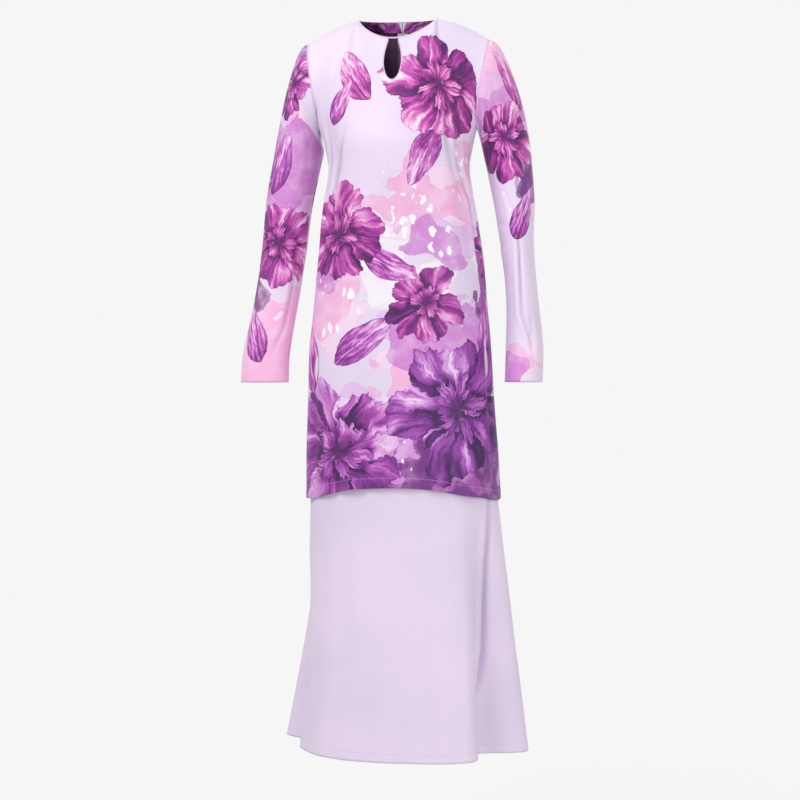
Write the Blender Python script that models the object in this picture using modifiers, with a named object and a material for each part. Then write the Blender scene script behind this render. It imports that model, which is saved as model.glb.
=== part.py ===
"""Baju kurung: a long-sleeved tunic over a long flared skirt, filled out with no wearer.

Metres, +Z up, the front faces -Y and the wearer's left is +X. The origin lies between the two
shoulder high points of the neck. Cloth is an open surface through sections, made a thin wall.
An angle round the body is 0 at the centre front, 90 at the wearer's left and 180 at the centre back.
"""
from collections import namedtuple
from math import atan2, cos, exp, pi, radians, sin, sqrt

import bmesh
import bpy
from mathutils import Matrix, Vector

# Cloth and seams
WALL = 0.0015
SEAM_TRIM = 0.00025
SHOULDER_TRIM = 0.0006
ARMHOLE_GAP = 0.0010
LAYER_GAP = 0.0003
NORMAL_STEP = 0.012

# Tunic: neck, shoulders and armholes
NECK_HALF_WIDTH = 0.074
NECK_FRONT = Vector((0.0, -0.085, -0.0533))
NECK_BACK = Vector((0.0, 0.055, 0.008))
SHOULDER_TIP = Vector((0.1724, 0.0, -0.0440))
SHOULDER_CROWN = 0.006
UNDERARM_HEIGHT = -0.211
UNDERARM_HALF_WIDTH = 0.1475
ARMHOLE_FRONT_DEPTH = 0.052
ARMHOLE_BACK_DEPTH = 0.056
ARMHOLE_X_POWER = 1.12
NECK_SHARE = 5 / 12
SHOULDER_ARRIVAL = 0.10

# Tunic: hem and side slits
HEM_FRONT_HEIGHT = -0.875
HEM_SIDE_DROP = 0.022
HEM_BACK_DROP = 0.018
SLIT_TOP = -0.852
SLIT_FRONT_ANGLE = 2.6
SLIT_BACK_ANGLE = 0.5

Section = namedtuple("Section", "z half_width centre_x front_y back_y")
TUNIC_SECTIONS = (
    Section(-0.2110, 0.1475, 0.000, -0.130, 0.100),
    Section(-0.2455, 0.1380, 0.002, -0.137, 0.101),
    Section(-0.2832, 0.1315, 0.003, -0.136, 0.098),
    Section(-0.3397, 0.1390, 0.004, -0.130, 0.092),
    Section(-0.4000, 0.1480, 0.005, -0.125, 0.089),
    Section(-0.4700, 0.1572, 0.005, -0.123, 0.093),
    Section(-0.5450, 0.1640, 0.004, -0.124, 0.103),
    Section(-0.6200, 0.1714, 0.003, -0.127, 0.112),
    Section(-0.7165, 0.1755, 0.004, -0.130, 0.119),
    Section(-0.8107, 0.1805, 0.006, -0.134, 0.124),
    Section(-0.8900, 0.1830, 0.008, -0.138, 0.130),
)
TUNIC_ROWS = (-0.8107, -0.7165, -0.6200, -0.5450, -0.4700, -0.4000, -0.3397, -0.2832, -0.2455)
TUNIC_COLUMNS = 24
YOKE_ROWS = 10
YOKE_CROWDING = 1.4
YOKE_HEIGHT = 0.16
YOKE_HALF_WIDTH = 0.22

# A drape is a soft trough (outward below 0) or ridge that is deepest halfway from top to bottom.
Drape = namedtuple("Drape", "angle spread outward top bottom")
TUNIC_DRAPES = (
    Drape(63, 8, -0.006, -0.13, -0.50),
    Drape(44, 9, 0.003, -0.17, -0.55),
    Drape(-55, 8, -0.005, -0.14, -0.46),
    Drape(-74, 8, 0.003, -0.20, -0.52),
    Drape(122, 9, -0.005, -0.14, -0.52),
    Drape(-126, 9, -0.005, -0.13, -0.50),
    Drape(-58, 11, -0.004, -0.66, -1.13),
    Drape(-22, 11, 0.003, -0.68, -1.12),
    Drape(14, 10, -0.003, -0.70, -1.10),
    Drape(47, 10, 0.004, -0.66, -1.13),
    Drape(112, 12, 0.004, -0.66, -1.12),
    Drape(150, 12, -0.004, -0.66, -1.12),
    Drape(208, 12, 0.004, -0.68, -1.12),
    Drape(240, 11, -0.004, -0.66, -1.12),
)

# Keyhole, cut down from the neck edge
KEYHOLE_DEPTH = 0.081
KEYHOLE_TOP_WIDTH = 0.017
KEYHOLE_WIDTH = 0.0335
KEYHOLE_WIDEST = 0.55
CUTTER_RISE = 0.03
CUTTER_HALF_DEPTH = 0.045
BINDING_RADIUS = 0.0012
BINDING_SEAT = BINDING_RADIUS + LAYER_GAP
NECK_STEPS = 30
KEYHOLE_STEPS = 14
CUTTER_STEPS = 10
BINDING_REACH = 0.965
BINDING_END_LIFT = 0.0004

# Sleeves: a station for each level, with the width seen from the front and the length round
Station = namedtuple("Station", "z centre_x centre_y half_width girth")
LEFT_SLEEVE = (
    Station(-0.2455, 0.2016, 0.020, 0.0452, 0.345),
    Station(-0.3400, 0.2150, 0.016, 0.0390, 0.315),
    Station(-0.4339, 0.2225, 0.008, 0.0308, 0.290),
    Station(-0.5300, 0.2325, -0.010, 0.0298, 0.268),
    Station(-0.6223, 0.2375, -0.036, 0.0345, 0.256),
    Station(-0.6835, 0.2365, -0.052, 0.0345, 0.252),
)
RIGHT_SLEEVE = (
    Station(-0.2455, -0.1940, 0.020, 0.0462, 0.345),
    Station(-0.3400, -0.2120, 0.016, 0.0443, 0.315),
    Station(-0.4339, -0.2212, 0.008, 0.0424, 0.290),
    Station(-0.5300, -0.2325, -0.010, 0.0415, 0.268),
    Station(-0.6223, -0.2455, -0.036, 0.0432, 0.256),
    Station(-0.6835, -0.2465, -0.052, 0.0450, 0.252),
)
SLEEVE_COLUMNS = 20
CAP_ROWS = 6
ARM_ROW_STEP = 0.055
CAP_OUT_LENGTH = 0.08
CAP_DOWN_LENGTH = 0.22
UNDERARM_OUT_LENGTH = 0.03
CAP_FULLNESS = 0.45

# Skirt: its own sections, with the flutes of its hem
SKIRT_TOP = -0.425
HIP_HEIGHT = -0.6200
HIP_CLEARANCE = 0.0007
SKIRT_HEM = -1.364
SKIRT_SECTIONS = (
    Section(-0.4250, 0.1290, 0.002, -0.100, 0.078),
    Section(-0.5000, 0.1500, 0.003, -0.113, 0.090),
    Section(-0.5600, 0.1605, 0.003, -0.119, 0.100),
    Section(HIP_HEIGHT, 0.1714, 0.003, -0.127, 0.112),
    Section(-0.7165, 0.1705, 0.003, -0.125, 0.113),
    Section(-0.8107, 0.1735, 0.006, -0.127, 0.116),
    Section(-0.9000, 0.1765, 0.010, -0.131, 0.121),
    Section(-1.0500, 0.1820, 0.012, -0.139, 0.138),
    Section(-1.2100, 0.1900, 0.011, -0.149, 0.160),
    Section(SKIRT_HEM, 0.2000, 0.008, -0.160, 0.185),
)
SKIRT_ROWS = (SKIRT_HEM, -1.3000, -1.2200, -1.1400, -1.0600, -0.9800, -0.9000, -0.8107,
              -0.7165, HIP_HEIGHT, -0.5600, -0.5000, SKIRT_TOP)
SKIRT_COLUMNS = 60
FLUTE_GROWTH = 0.95

# The crests and hollows of the skirt's flutes round its hem: each starts at its own height
Flute = namedtuple("Flute", "angle outward starts")
SKIRT_FLUTES = (
    Flute(0, 0.004, -0.95),
    Flute(38, 0.024, -0.90),
    Flute(57, -0.024, -0.88),
    Flute(78, 0.041, -0.895),
    Flute(103, -0.010, -0.95),
    Flute(124, 0.026, -0.98),
    Flute(146, -0.014, -0.90),
    Flute(168, 0.022, -0.95),
    Flute(190, -0.016, -0.92),
    Flute(213, 0.024, -0.98),
    Flute(233, -0.012, -0.95),
    Flute(255, 0.043, -1.06),
    Flute(273, -0.030, -1.00),
    Flute(292, 0.002, -0.95),
    Flute(325, 0.008, -0.95),
)

# Skirt waistband
BAND_HEIGHT = 0.030
BAND_THICKNESS = 0.003
BAND_COLUMNS = 40

# Back neck facing and the centre-back zip
FACING_WALL = 0.001
FACING_SHOULDER_SHARE = 0.17
FACING_END = 0.88
FACING_EXTRA_GAP = 0.0010
FACING_NECK_GAP = 0.012
FACING_COLUMNS = 14
FACING_ROWS = 5
FACING_NECK_ROWS = 0.18
FACING_TOP_OPEN = 0.0080
FACING_LOW_OPEN = 0.0016
TAPE_WIDTH = 0.0100
TAPE_WALL = 0.0008
TAPE_CENTRE_GAP = 0.0010
ZIP_BOTTOM = -0.3397

# Zip slider and pull tab, in the slider's own frame: X across, Y out from the cloth, Z up
SLIDER_DROP = 0.016
SLIDER_SIZE = Vector((0.0050, 0.0014, 0.0090))
SLIDER_BEVEL = 0.0004
SLIDER_SEAT = 0.00045
BAIL_RADIUS = 0.00045
BAIL_HALF_LENGTH = 0.0030
BAIL_RISE = 0.00265
BAIL_CORNER = 0.0008
PIVOT_RISE = 0.00115
PULL_LENGTH = 0.0210
PULL_WIDTH = 0.0042
PULL_THICKNESS = 0.0008
PULL_BAR = 0.0009
PULL_NECK = 0.7
PULL_ROUND_STEPS = 6
PULL_EYE_WIDTH = 0.0022
PULL_EYE_LENGTH = 0.0046

# Grids of the front and back panels, kept once made
PANEL_GRIDS = {}

# Material colours: base colour, roughness and metallic value
FINISHES = {
    "printed_crepe": ((0.56, 0.24, 0.56), 0.55, 0.0),
    "plain_crepe": ((0.75, 0.65, 0.81), 0.55, 0.0),
    "binding": ((0.84, 0.62, 0.80), 0.55, 0.0),
    "zip_tape": ((0.70, 0.68, 0.72), 0.75, 0.0),
    "zip_metal": ((0.62, 0.60, 0.64), 0.30, 1.0),
}


def clear_scene():
    for item in list(bpy.data.objects):
        bpy.data.objects.remove(item, do_unlink=True)


def new_collection(name):
    collection = bpy.data.collections.new(name)
    bpy.context.scene.collection.children.link(collection)
    return collection


def finish(name):
    """The named material, made once."""
    material = bpy.data.materials.get(name)
    if material is None:
        colour, roughness, metallic = FINISHES[name]
        material = bpy.data.materials.new(name)
        material.use_nodes = True
        shader = material.node_tree.nodes["Principled BSDF"]
        shader.inputs["Base Color"].default_value = (*colour, 1.0)
        shader.inputs["Roughness"].default_value = roughness
        shader.inputs["Metallic"].default_value = metallic
    return material


def add_part(name, mesh, collection, material):
    """A named object with one material, shaded smooth."""
    part = bpy.data.objects.new(name, mesh)
    part.data.materials.clear()
    part.data.materials.append(finish(material))
    part.data.shade_smooth()
    collection.objects.link(part)
    return part


def ease(value):
    """0 below 0, 1 above 1 and a soft step between."""
    value = min(max(value, 0.0), 1.0)
    return value * value * (3.0 - 2.0 * value)


def hermite(start, start_slope, end, end_slope, t):
    """A cubic between two points or numbers with the slopes given."""
    t2 = t * t
    t3 = t2 * t
    return (start * (2 * t3 - 3 * t2 + 1) + start_slope * (t3 - 2 * t2 + t)
            + end * (3 * t2 - 2 * t3) + end_slope * (t3 - t2))


def smooth_column(table, z, column):
    """One column of a table whose rows run downward in z, as a smooth curve through its rows."""
    heights = [row.z for row in table]
    values = [getattr(row, column) for row in table]
    last = len(table) - 1
    z = min(max(z, heights[last]), heights[0])
    i = 0
    while i < last - 1 and z < heights[i + 1]:
        i += 1

    def slope(k):
        low = max(k - 1, 0)
        high = min(k + 1, last)
        return (values[high] - values[low]) / (heights[high] - heights[low])

    span = heights[i + 1] - heights[i]
    t = (z - heights[i]) / span
    return hermite(values[i], slope(i) * span, values[i + 1], slope(i + 1) * span, t)


def turn_between(angle, centre):
    """The signed turn from one angle to another, in degrees from -180 to 180."""
    return (angle - centre + 180.0) % 360.0 - 180.0


def ring_point(table, angle, z, outward):
    """A point on a body section, moved outward from the section's middle."""
    half_width = smooth_column(table, z, "half_width") + outward
    front = smooth_column(table, z, "front_y") - outward
    back = smooth_column(table, z, "back_y") + outward
    middle = (front + back) / 2
    phi = radians(angle)
    x = smooth_column(table, z, "centre_x") + half_width * sin(phi)
    return Vector((x, middle - (back - front) / 2 * cos(phi), z))


def drape_offset(angle, z):
    """How far the tunic's troughs and ridges move its cloth outward."""
    total = 0.0
    for drape in TUNIC_DRAPES:
        if drape.bottom < z < drape.top:
            along = (drape.top - z) / (drape.top - drape.bottom)
            across = turn_between(angle, drape.angle) / drape.spread
            total += drape.outward * sin(pi * along) ** 2 * exp(-across * across)
    return total


def tunic_ring(angle, z):
    """The tunic's outer face at or below the underarm."""
    return ring_point(TUNIC_SECTIONS, angle, z, drape_offset(angle, z))


def tunic_hem_height(angle):
    side = sin(radians(angle)) ** 2
    back = (1.0 - cos(radians(angle))) / 2
    return HEM_FRONT_HEIGHT - HEM_SIDE_DROP * side - HEM_BACK_DROP * back * (1.0 - side)


def armhole_point(side, turn, front):
    """A point of an armhole seam, from the shoulder tip (turn 0) to the underarm (turn pi)."""
    depth = -ARMHOLE_FRONT_DEPTH if front else ARMHOLE_BACK_DEPTH
    middle = (SHOULDER_TIP.z + UNDERARM_HEIGHT) / 2
    half = (SHOULDER_TIP.z - UNDERARM_HEIGHT) / 2
    rise = (1.0 + cos(turn)) / 2
    x = UNDERARM_HALF_WIDTH + (SHOULDER_TIP.x - UNDERARM_HALF_WIDTH) * rise ** ARMHOLE_X_POWER
    underarm_y = (TUNIC_SECTIONS[0].front_y + TUNIC_SECTIONS[0].back_y) / 2
    y = underarm_y + (SHOULDER_TIP.y - underarm_y) * rise
    return Vector((side * x, y + depth * sin(turn), middle + half * cos(turn)))


def top_edge(share, front):
    """The neck and shoulder edge of a panel; share runs from -1 to 1 across the shoulders."""
    side = 1.0 if share > 0 else -1.0
    reach = abs(share)
    if reach <= NECK_SHARE:
        beta = reach / NECK_SHARE * pi / 2
        centre = NECK_FRONT if front else NECK_BACK
        drop = cos(beta) ** (1.5 if front else 1.0)
        return Vector((side * NECK_HALF_WIDTH * sin(beta), centre.y * cos(beta), centre.z * drop))
    along = (reach - NECK_SHARE) / (1.0 - NECK_SHARE)
    x = NECK_HALF_WIDTH + (SHOULDER_TIP.x - NECK_HALF_WIDTH) * along
    crown = SHOULDER_CROWN * sin(pi * along)
    return Vector((side * x, SHOULDER_TIP.y * along, SHOULDER_TIP.z * along + crown))


def yoke_point(share, t, front):
    """The panel above the underarm: up from the section there (t 0) to the top edge (t 1)."""
    angle = 90.0 * share if front else 180.0 - 90.0 * share
    start = tunic_ring(angle, UNDERARM_HEIGHT)
    rise = start - tunic_ring(angle, UNDERARM_HEIGHT - NORMAL_STEP)
    end = top_edge(share, front)
    chord = (end - start).length
    along = 1.0 - (1.0 - t) ** YOKE_CROWDING
    outward = -1.0 if front else 1.0
    over_shoulder = ease(abs(share) / NECK_SHARE)
    arrive_up = Vector((0.0, -outward * 0.30, 0.95))
    arrive_flat = Vector((0.0, -outward, SHOULDER_ARRIVAL))
    arrive = arrive_up.lerp(arrive_flat, over_shoulder).normalized()
    point = hermite(start, rise.normalized() * chord, end, arrive * chord, along)
    side = 1.0 if share > 0 else -1.0
    edge_angle = 90.0 * side if front else 180.0 - 90.0 * side
    edge_start = tunic_ring(edge_angle, UNDERARM_HEIGHT)
    edge_rise = edge_start - tunic_ring(edge_angle, UNDERARM_HEIGHT - NORMAL_STEP)
    edge_end = top_edge(side, front)
    edge_chord = (edge_end - edge_start).length
    edge_arrive = Vector((0.0, -outward, SHOULDER_ARRIVAL)).normalized()
    free_edge = hermite(edge_start, edge_rise.normalized() * edge_chord,
                        edge_end, edge_arrive * edge_chord, along)
    seam = armhole_point(side, pi * (1.0 - t), front)
    return point + (seam - free_edge) * abs(share) ** 4


def tunic_point(share, level, front):
    """A panel's outer face. Level 0 is the hem, 1 the underarm and 2 the top edge."""
    if level > 1.0:
        return yoke_point(share, level - 1.0, front)
    angle = 90.0 * share if front else 180.0 - 90.0 * share
    heights = (tunic_hem_height(angle), *TUNIC_ROWS, UNDERARM_HEIGHT)
    place = level * (len(heights) - 1)
    i = min(int(place), len(heights) - 2)
    z = heights[i] + (heights[i + 1] - heights[i]) * (place - i)
    slit = ease((SLIT_TOP - z) / (SLIT_TOP - heights[0])) if z < SLIT_TOP else 0.0
    pull_in = (SLIT_FRONT_ANGLE if front else SLIT_BACK_ANGLE) * slit
    if front:
        angle -= pull_in * share
    else:
        angle += pull_in * share
    return tunic_ring(angle, z)


def tunic_levels():
    lower = len(TUNIC_ROWS) + 1
    return [i / lower for i in range(lower)] + [1.0 + i / YOKE_ROWS for i in range(YOKE_ROWS + 1)]


def panel_grid(front):
    """A panel's own points and the ways out from them, row by row, for what lies on the panel."""
    if front in PANEL_GRIDS:
        return PANEL_GRIDS[front]
    shares = [2.0 * j / TUNIC_COLUMNS - 1.0 for j in range(TUNIC_COLUMNS + 1)]
    points = [[tunic_point(share, level, front) for share in shares] for level in tunic_levels()]
    facing = 1.0 if front else -1.0
    ways = [[Vector() for _ in shares] for _ in points]
    for i in range(len(points) - 1):
        for j in range(TUNIC_COLUMNS):
            rise = points[i + 1][j + 1] - points[i][j]
            fall = points[i + 1][j] - points[i][j + 1]
            way = rise.cross(fall).normalized() * facing
            for row, column in ((i, j), (i, j + 1), (i + 1, j), (i + 1, j + 1)):
                ways[row][column] += way
    ways = [[way.normalized() for way in row] for row in ways]
    PANEL_GRIDS[front] = (points, ways)
    return PANEL_GRIDS[front]


def on_panel(share, level, front, depth):
    """A point on the flat facets between a panel's own points, moved in by a depth."""
    points, ways = panel_grid(front)
    levels = tunic_levels()
    i = 0
    while i < len(levels) - 2 and level > levels[i + 1]:
        i += 1
    up = (level - levels[i]) / (levels[i + 1] - levels[i])
    place = (share + 1.0) * TUNIC_COLUMNS / 2
    j = min(int(place + 0.000001), TUNIC_COLUMNS - 1)
    across = place - j
    rows = []
    for k in (i, i + 1):
        left = points[k][j] - ways[k][j] * depth
        right = points[k][j + 1] - ways[k][j + 1] * depth
        rows.append(left.lerp(right, across))
    return rows[0].lerp(rows[1], up)


def trim_rows(rows, amount):
    """Draws in a grid's last row along its columns."""
    for low, high in zip(rows[-2], rows[-1]):
        high += (low - high).normalized() * amount


def trim_edge(rows, column, neighbour, amount):
    """Draws in a grid's side edge along its rows."""
    for row in rows:
        row[column] += (row[neighbour] - row[column]).normalized() * amount


def sheet_mesh(name, rows, round_closed=False):
    """An open surface through rows of points. Rows run up and points run to the left of its face."""
    mesh = bpy.data.meshes.new(name)
    made = bmesh.new()
    corners = [[made.verts.new(point) for point in row] for row in rows]
    for low, high in zip(corners[:-1], corners[1:]):
        count = len(low)
        for j in range(count if round_closed else count - 1):
            k = (j + 1) % count
            made.faces.new((low[j], low[k], high[k], high[j]))
    made.to_mesh(mesh)
    made.free()
    return mesh


def add_cloth(name, rows, collection, material, wall=WALL, round_closed=False):
    """A sheet made a wall on its inner side."""
    part = add_part(name, sheet_mesh(name, rows, round_closed), collection, material)
    solid = part.modifiers.new("wall", "SOLIDIFY")
    solid.thickness = wall
    solid.offset = -1.0
    return part


def make_tunic_front(collection, cutters):
    columns = [-1.0 + 2.0 * j / TUNIC_COLUMNS for j in range(TUNIC_COLUMNS + 1)]
    rows = [[tunic_point(share, level, True) for share in columns] for level in tunic_levels()]
    lower = len(TUNIC_ROWS) + 2
    trim_edge(rows[:lower], 0, 1, SEAM_TRIM)
    trim_edge(rows[:lower], -1, -2, SEAM_TRIM)
    trim_rows(rows, SHOULDER_TRIM)
    part = add_cloth("tunic_front", rows, collection, "printed_crepe")
    cut = part.modifiers.new("keyhole", "BOOLEAN")
    cut.operation = "DIFFERENCE"
    cut.object = keyhole_cutter(cutters)
    return part


def make_tunic_back(side, collection):
    half = TUNIC_COLUMNS // 2
    shares = [side * (1.0 - j / half) for j in range(half + 1)]
    if side < 0:
        shares.reverse()
    rows = [[tunic_point(share, level, False) for share in shares] for level in tunic_levels()]
    lower = len(TUNIC_ROWS) + 2
    side_edge, centre_edge = ((0, 1), (-1, -2)) if side > 0 else ((-1, -2), (0, 1))
    trim_edge(rows[:lower], *side_edge, SEAM_TRIM)
    trim_edge(rows, *centre_edge, SEAM_TRIM)
    trim_rows(rows, SHOULDER_TRIM)
    name = "tunic_back_left" if side > 0 else "tunic_back_right"
    return add_cloth(name, rows, collection, "printed_crepe")


def keyhole_half_width(t):
    """The keyhole's half width from its top (t 0) to its bottom (t 1)."""
    top = KEYHOLE_TOP_WIDTH / 2
    widest = KEYHOLE_WIDTH / 2
    if t < KEYHOLE_WIDEST:
        return top + (widest - top) * sin(pi / 2 * t / KEYHOLE_WIDEST)
    low = (t - KEYHOLE_WIDEST) / (1.0 - KEYHOLE_WIDEST)
    return widest * sqrt(max(1.0 - low * low, 0.0))


def keyhole_outline(grown, steps):
    """Points (x, z) down the keyhole's left edge, round its bottom and up its right edge."""
    side = []
    for i in range(steps + 1):
        t = sin(pi / 2 * i / steps)
        side.append(Vector((-keyhole_half_width(t), -t * KEYHOLE_DEPTH)))
    outline = side + [Vector((-point.x, point.y)) for point in reversed(side[:-1])]
    moved = []
    for i, point in enumerate(outline):
        before = outline[max(i - 1, 0)]
        after = outline[min(i + 1, len(outline) - 1)]
        along = (after - before).normalized()
        moved.append(point + Vector((along.y, -along.x)) * grown)
    return moved


def keyhole_cutter(cutters):
    """A prism in the keyhole's outline, from above the neck edge, through the front alone."""
    outline = keyhole_outline(2 * BINDING_RADIUS + LAYER_GAP, CUTTER_STEPS)
    ends = (outline[0], outline[-1])
    above = [Vector((end.x, CUTTER_RISE)) for end in ends]
    outline = [above[0], *outline, above[1]]
    curve = bpy.data.curves.new("keyhole_outline", "CURVE")
    curve.dimensions = "2D"
    curve.fill_mode = "BOTH"
    curve.extrude = CUTTER_HALF_DEPTH
    spline = curve.splines.new("POLY")
    spline.points.add(len(outline) - 1)
    for point, (x, z) in zip(spline.points, outline):
        point.co = (x, z, 0.0, 1.0)
    spline.use_cyclic_u = True
    flat = bpy.data.objects.new("keyhole_outline", curve)
    cutters.objects.link(flat)
    flat.rotation_euler.x = pi / 2
    flat.location = (0.0, NECK_FRONT.y, NECK_FRONT.z)
    cutter = bpy.data.objects.new("keyhole_cutter", welded_mesh(flat))
    cutter.matrix_world = flat.matrix_basis
    bpy.data.objects.remove(flat)
    cutter.display_type = "WIRE"
    cutter.hide_render = True
    cutters.objects.link(cutter)
    return cutter


def welded_mesh(curve_object):
    """A closed mesh from a curve object, with its caps welded on."""
    bpy.context.view_layer.update()
    evaluated = curve_object.evaluated_get(bpy.context.evaluated_depsgraph_get())
    mesh = bpy.data.meshes.new_from_object(evaluated)
    made = bmesh.new()
    made.from_mesh(mesh)
    bmesh.ops.remove_doubles(made, verts=made.verts, dist=0.00001)
    bmesh.ops.recalc_face_normals(made, faces=made.faces)
    made.to_mesh(mesh)
    made.free()
    return mesh


def add_cord(name, points, radius, collection, material):
    """A round strip along a line of points, with filled ends."""
    curve = bpy.data.curves.new(name, "CURVE")
    curve.dimensions = "3D"
    curve.bevel_depth = radius
    curve.bevel_resolution = 1
    curve.use_fill_caps = True
    spline = curve.splines.new("POLY")
    spline.points.add(len(points) - 1)
    for place, point in zip(spline.points, points):
        place.co = (*point, 1.0)
    line = bpy.data.objects.new(name, curve)
    collection.objects.link(line)
    mesh = welded_mesh(line)
    bpy.data.objects.remove(line)
    return add_part(name, mesh, collection, material)


def front_across(x, z, depth):
    """The point in the front panel near the neck, at a place across and a height."""
    level = 1.9
    share = 0.0
    for _ in range(16):
        point = on_panel(share, level, True, depth)
        level += (z - point.z) / YOKE_HEIGHT
        level = min(max(level, 1.0), 1.999)
        share += (x - point.x) / YOKE_HALF_WIDTH
    return on_panel(share, level, True, depth)


def make_neck_binding(collection):
    """The strip on the front neck edge, from one shoulder seam to the other."""
    points = []
    for i in range(NECK_STEPS + 1):
        reach = 2.0 * i / NECK_STEPS - 1.0
        share = NECK_SHARE * BINDING_REACH * reach
        edge = on_panel(share, 2.0, True, WALL / 2)
        before = max(share - 0.01, -NECK_SHARE)
        after = min(share + 0.01, NECK_SHARE)
        along = on_panel(after, 2.0, True, 0.0) - on_panel(before, 2.0, True, 0.0)
        way_out = on_panel(share, 2.0, True, 0.0) - edge
        seat = BINDING_SEAT + BINDING_END_LIFT * reach ** 6
        points.append(edge + way_out.cross(along).normalized() * seat)
    return add_cord("neck_binding", points, BINDING_RADIUS, collection, "binding")


def make_keyhole_binding(collection):
    """The strip round the keyhole, below the neck binding."""
    below_neck = BINDING_RADIUS + 2 * LAYER_GAP
    points = []
    for x, z in keyhole_outline(BINDING_RADIUS, KEYHOLE_STEPS):
        if -z > below_neck:
            points.append(front_across(x, NECK_FRONT.z + z, WALL / 2))
    return add_cord("keyhole_binding", points, BINDING_RADIUS, collection, "binding")


def girth_depth(half_width, girth):
    """The half depth of an oval of a given length round and half width."""
    mean_square = 2.0 * (girth / (2.0 * pi)) ** 2
    return sqrt(mean_square - half_width * half_width)


def sleeve_ring_point(stations, side, turn, z):
    """A point of the sleeve's tube; turn 0 is the outer side, pi / 2 the front."""
    half_width = smooth_column(stations, z, "half_width")
    half_depth = girth_depth(half_width, smooth_column(stations, z, "girth"))
    x = smooth_column(stations, z, "centre_x") + side * half_width * cos(turn)
    return Vector((x, smooth_column(stations, z, "centre_y") - half_depth * sin(turn), z))


def sleeve_head_point(stations, side, turn, t):
    """The sleeve between the armhole seam (t 0) and its first station (t 1)."""
    front = turn <= pi
    down_turn = turn if front else 2.0 * pi - turn
    seam = armhole_point(side, down_turn, front)
    low = (1.0 - cos(down_turn)) / 2
    out = Vector((side, 0.0, 0.10)).lerp(Vector((side * 0.40, 0.0, -0.92)), low)
    out.y = -CAP_FULLNESS * sin(turn)
    out.normalize()
    start = seam + out * ARMHOLE_GAP
    length = CAP_OUT_LENGTH + (UNDERARM_OUT_LENGTH - CAP_OUT_LENGTH) * low
    first = stations[0].z
    end = sleeve_ring_point(stations, side, turn, first)
    end_slope = sleeve_ring_point(stations, side, turn, first - 0.02) - end
    down = CAP_DOWN_LENGTH + (UNDERARM_OUT_LENGTH - CAP_DOWN_LENGTH) * low
    return hermite(start, out * length, end, end_slope.normalized() * down, t)


def make_sleeve(name, stations, side, collection):
    turns = [2.0 * pi * j / SLEEVE_COLUMNS for j in range(SLEEVE_COLUMNS)]
    rows = [[sleeve_head_point(stations, side, turn, i / CAP_ROWS) for turn in turns]
            for i in range(CAP_ROWS + 1)]
    first = stations[0].z
    last = stations[-1].z
    count = round((first - last) / ARM_ROW_STEP)
    for i in range(1, count + 1):
        z = first + (last - first) * i / count
        rows.append([sleeve_ring_point(stations, side, turn, z) for turn in turns])
    if side < 0:
        rows.reverse()
    return add_cloth(name, rows, collection, "printed_crepe", round_closed=True)


def flute_offset(angle, z):
    """How far the skirt's flutes move its cloth outward."""
    angle %= 360.0
    count = len(SKIRT_FLUTES)
    for i in range(count):
        here = SKIRT_FLUTES[i]
        after = SKIRT_FLUTES[(i + 1) % count]
        end = after.angle if after.angle > here.angle else after.angle + 360.0
        if here.angle <= angle < end:
            break
    mix = (1.0 - cos(pi * (angle - here.angle) / (end - here.angle))) / 2
    offsets = []
    for flute in (here, after):
        grown = min(max((flute.starts - z) / (flute.starts - SKIRT_HEM), 0.0), 1.0)
        offsets.append(flute.outward * grown ** FLUTE_GROWTH)
    return offsets[0] + (offsets[1] - offsets[0]) * mix


def hip_seat(z):
    """How far the skirt stays inside its table at the hip, where the tunic rests on it."""
    near = max(1.0 - abs(z - HIP_HEIGHT) / 0.04, 0.0)
    return -(WALL + HIP_CLEARANCE) * near


def skirt_point(angle, z):
    return ring_point(SKIRT_SECTIONS, angle, z, flute_offset(angle, z) + hip_seat(z))


def make_skirt_panel(name, first_angle, collection):
    half = SKIRT_COLUMNS // 2
    rows = [[skirt_point(first_angle + 180.0 * j / half, z) for j in range(half + 1)]
            for z in SKIRT_ROWS]
    trim_edge(rows, 0, 1, SEAM_TRIM)
    trim_edge(rows, -1, -2, SEAM_TRIM)
    return add_cloth(name, rows, collection, "plain_crepe")


def make_waistband(collection):
    rows = []
    for z in (SKIRT_TOP + LAYER_GAP, SKIRT_TOP + BAND_HEIGHT):
        row = [ring_point(SKIRT_SECTIONS, 360.0 * j / BAND_COLUMNS, SKIRT_TOP, BAND_THICKNESS / 2)
               for j in range(BAND_COLUMNS)]
        rows.append([Vector((point.x, point.y, z)) for point in row])
    return add_cloth("skirt_waistband", rows, collection, "plain_crepe", BAND_THICKNESS, True)


def back_frame(share, level):
    """A point of the back's outer face and the way out from the cloth there."""
    point = on_panel(share, level, False, 0.0)
    return point, (point - on_panel(share, level, False, WALL)).normalized()


def share_across(x, level):
    """The share at which the back lies x from its centre line."""
    step = 1.0 / TUNIC_COLUMNS
    centre = tunic_point(0.0, level, False).x
    return step * x / (tunic_point(step, level, False).x - centre)


def level_at(z):
    """The level at which the back's centre line has the height given."""
    low = 0.0
    high = 2.0
    for _ in range(40):
        middle = (low + high) / 2
        if tunic_point(0.0, middle, False).z < z:
            low = middle
        else:
            high = middle
    return low


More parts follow.
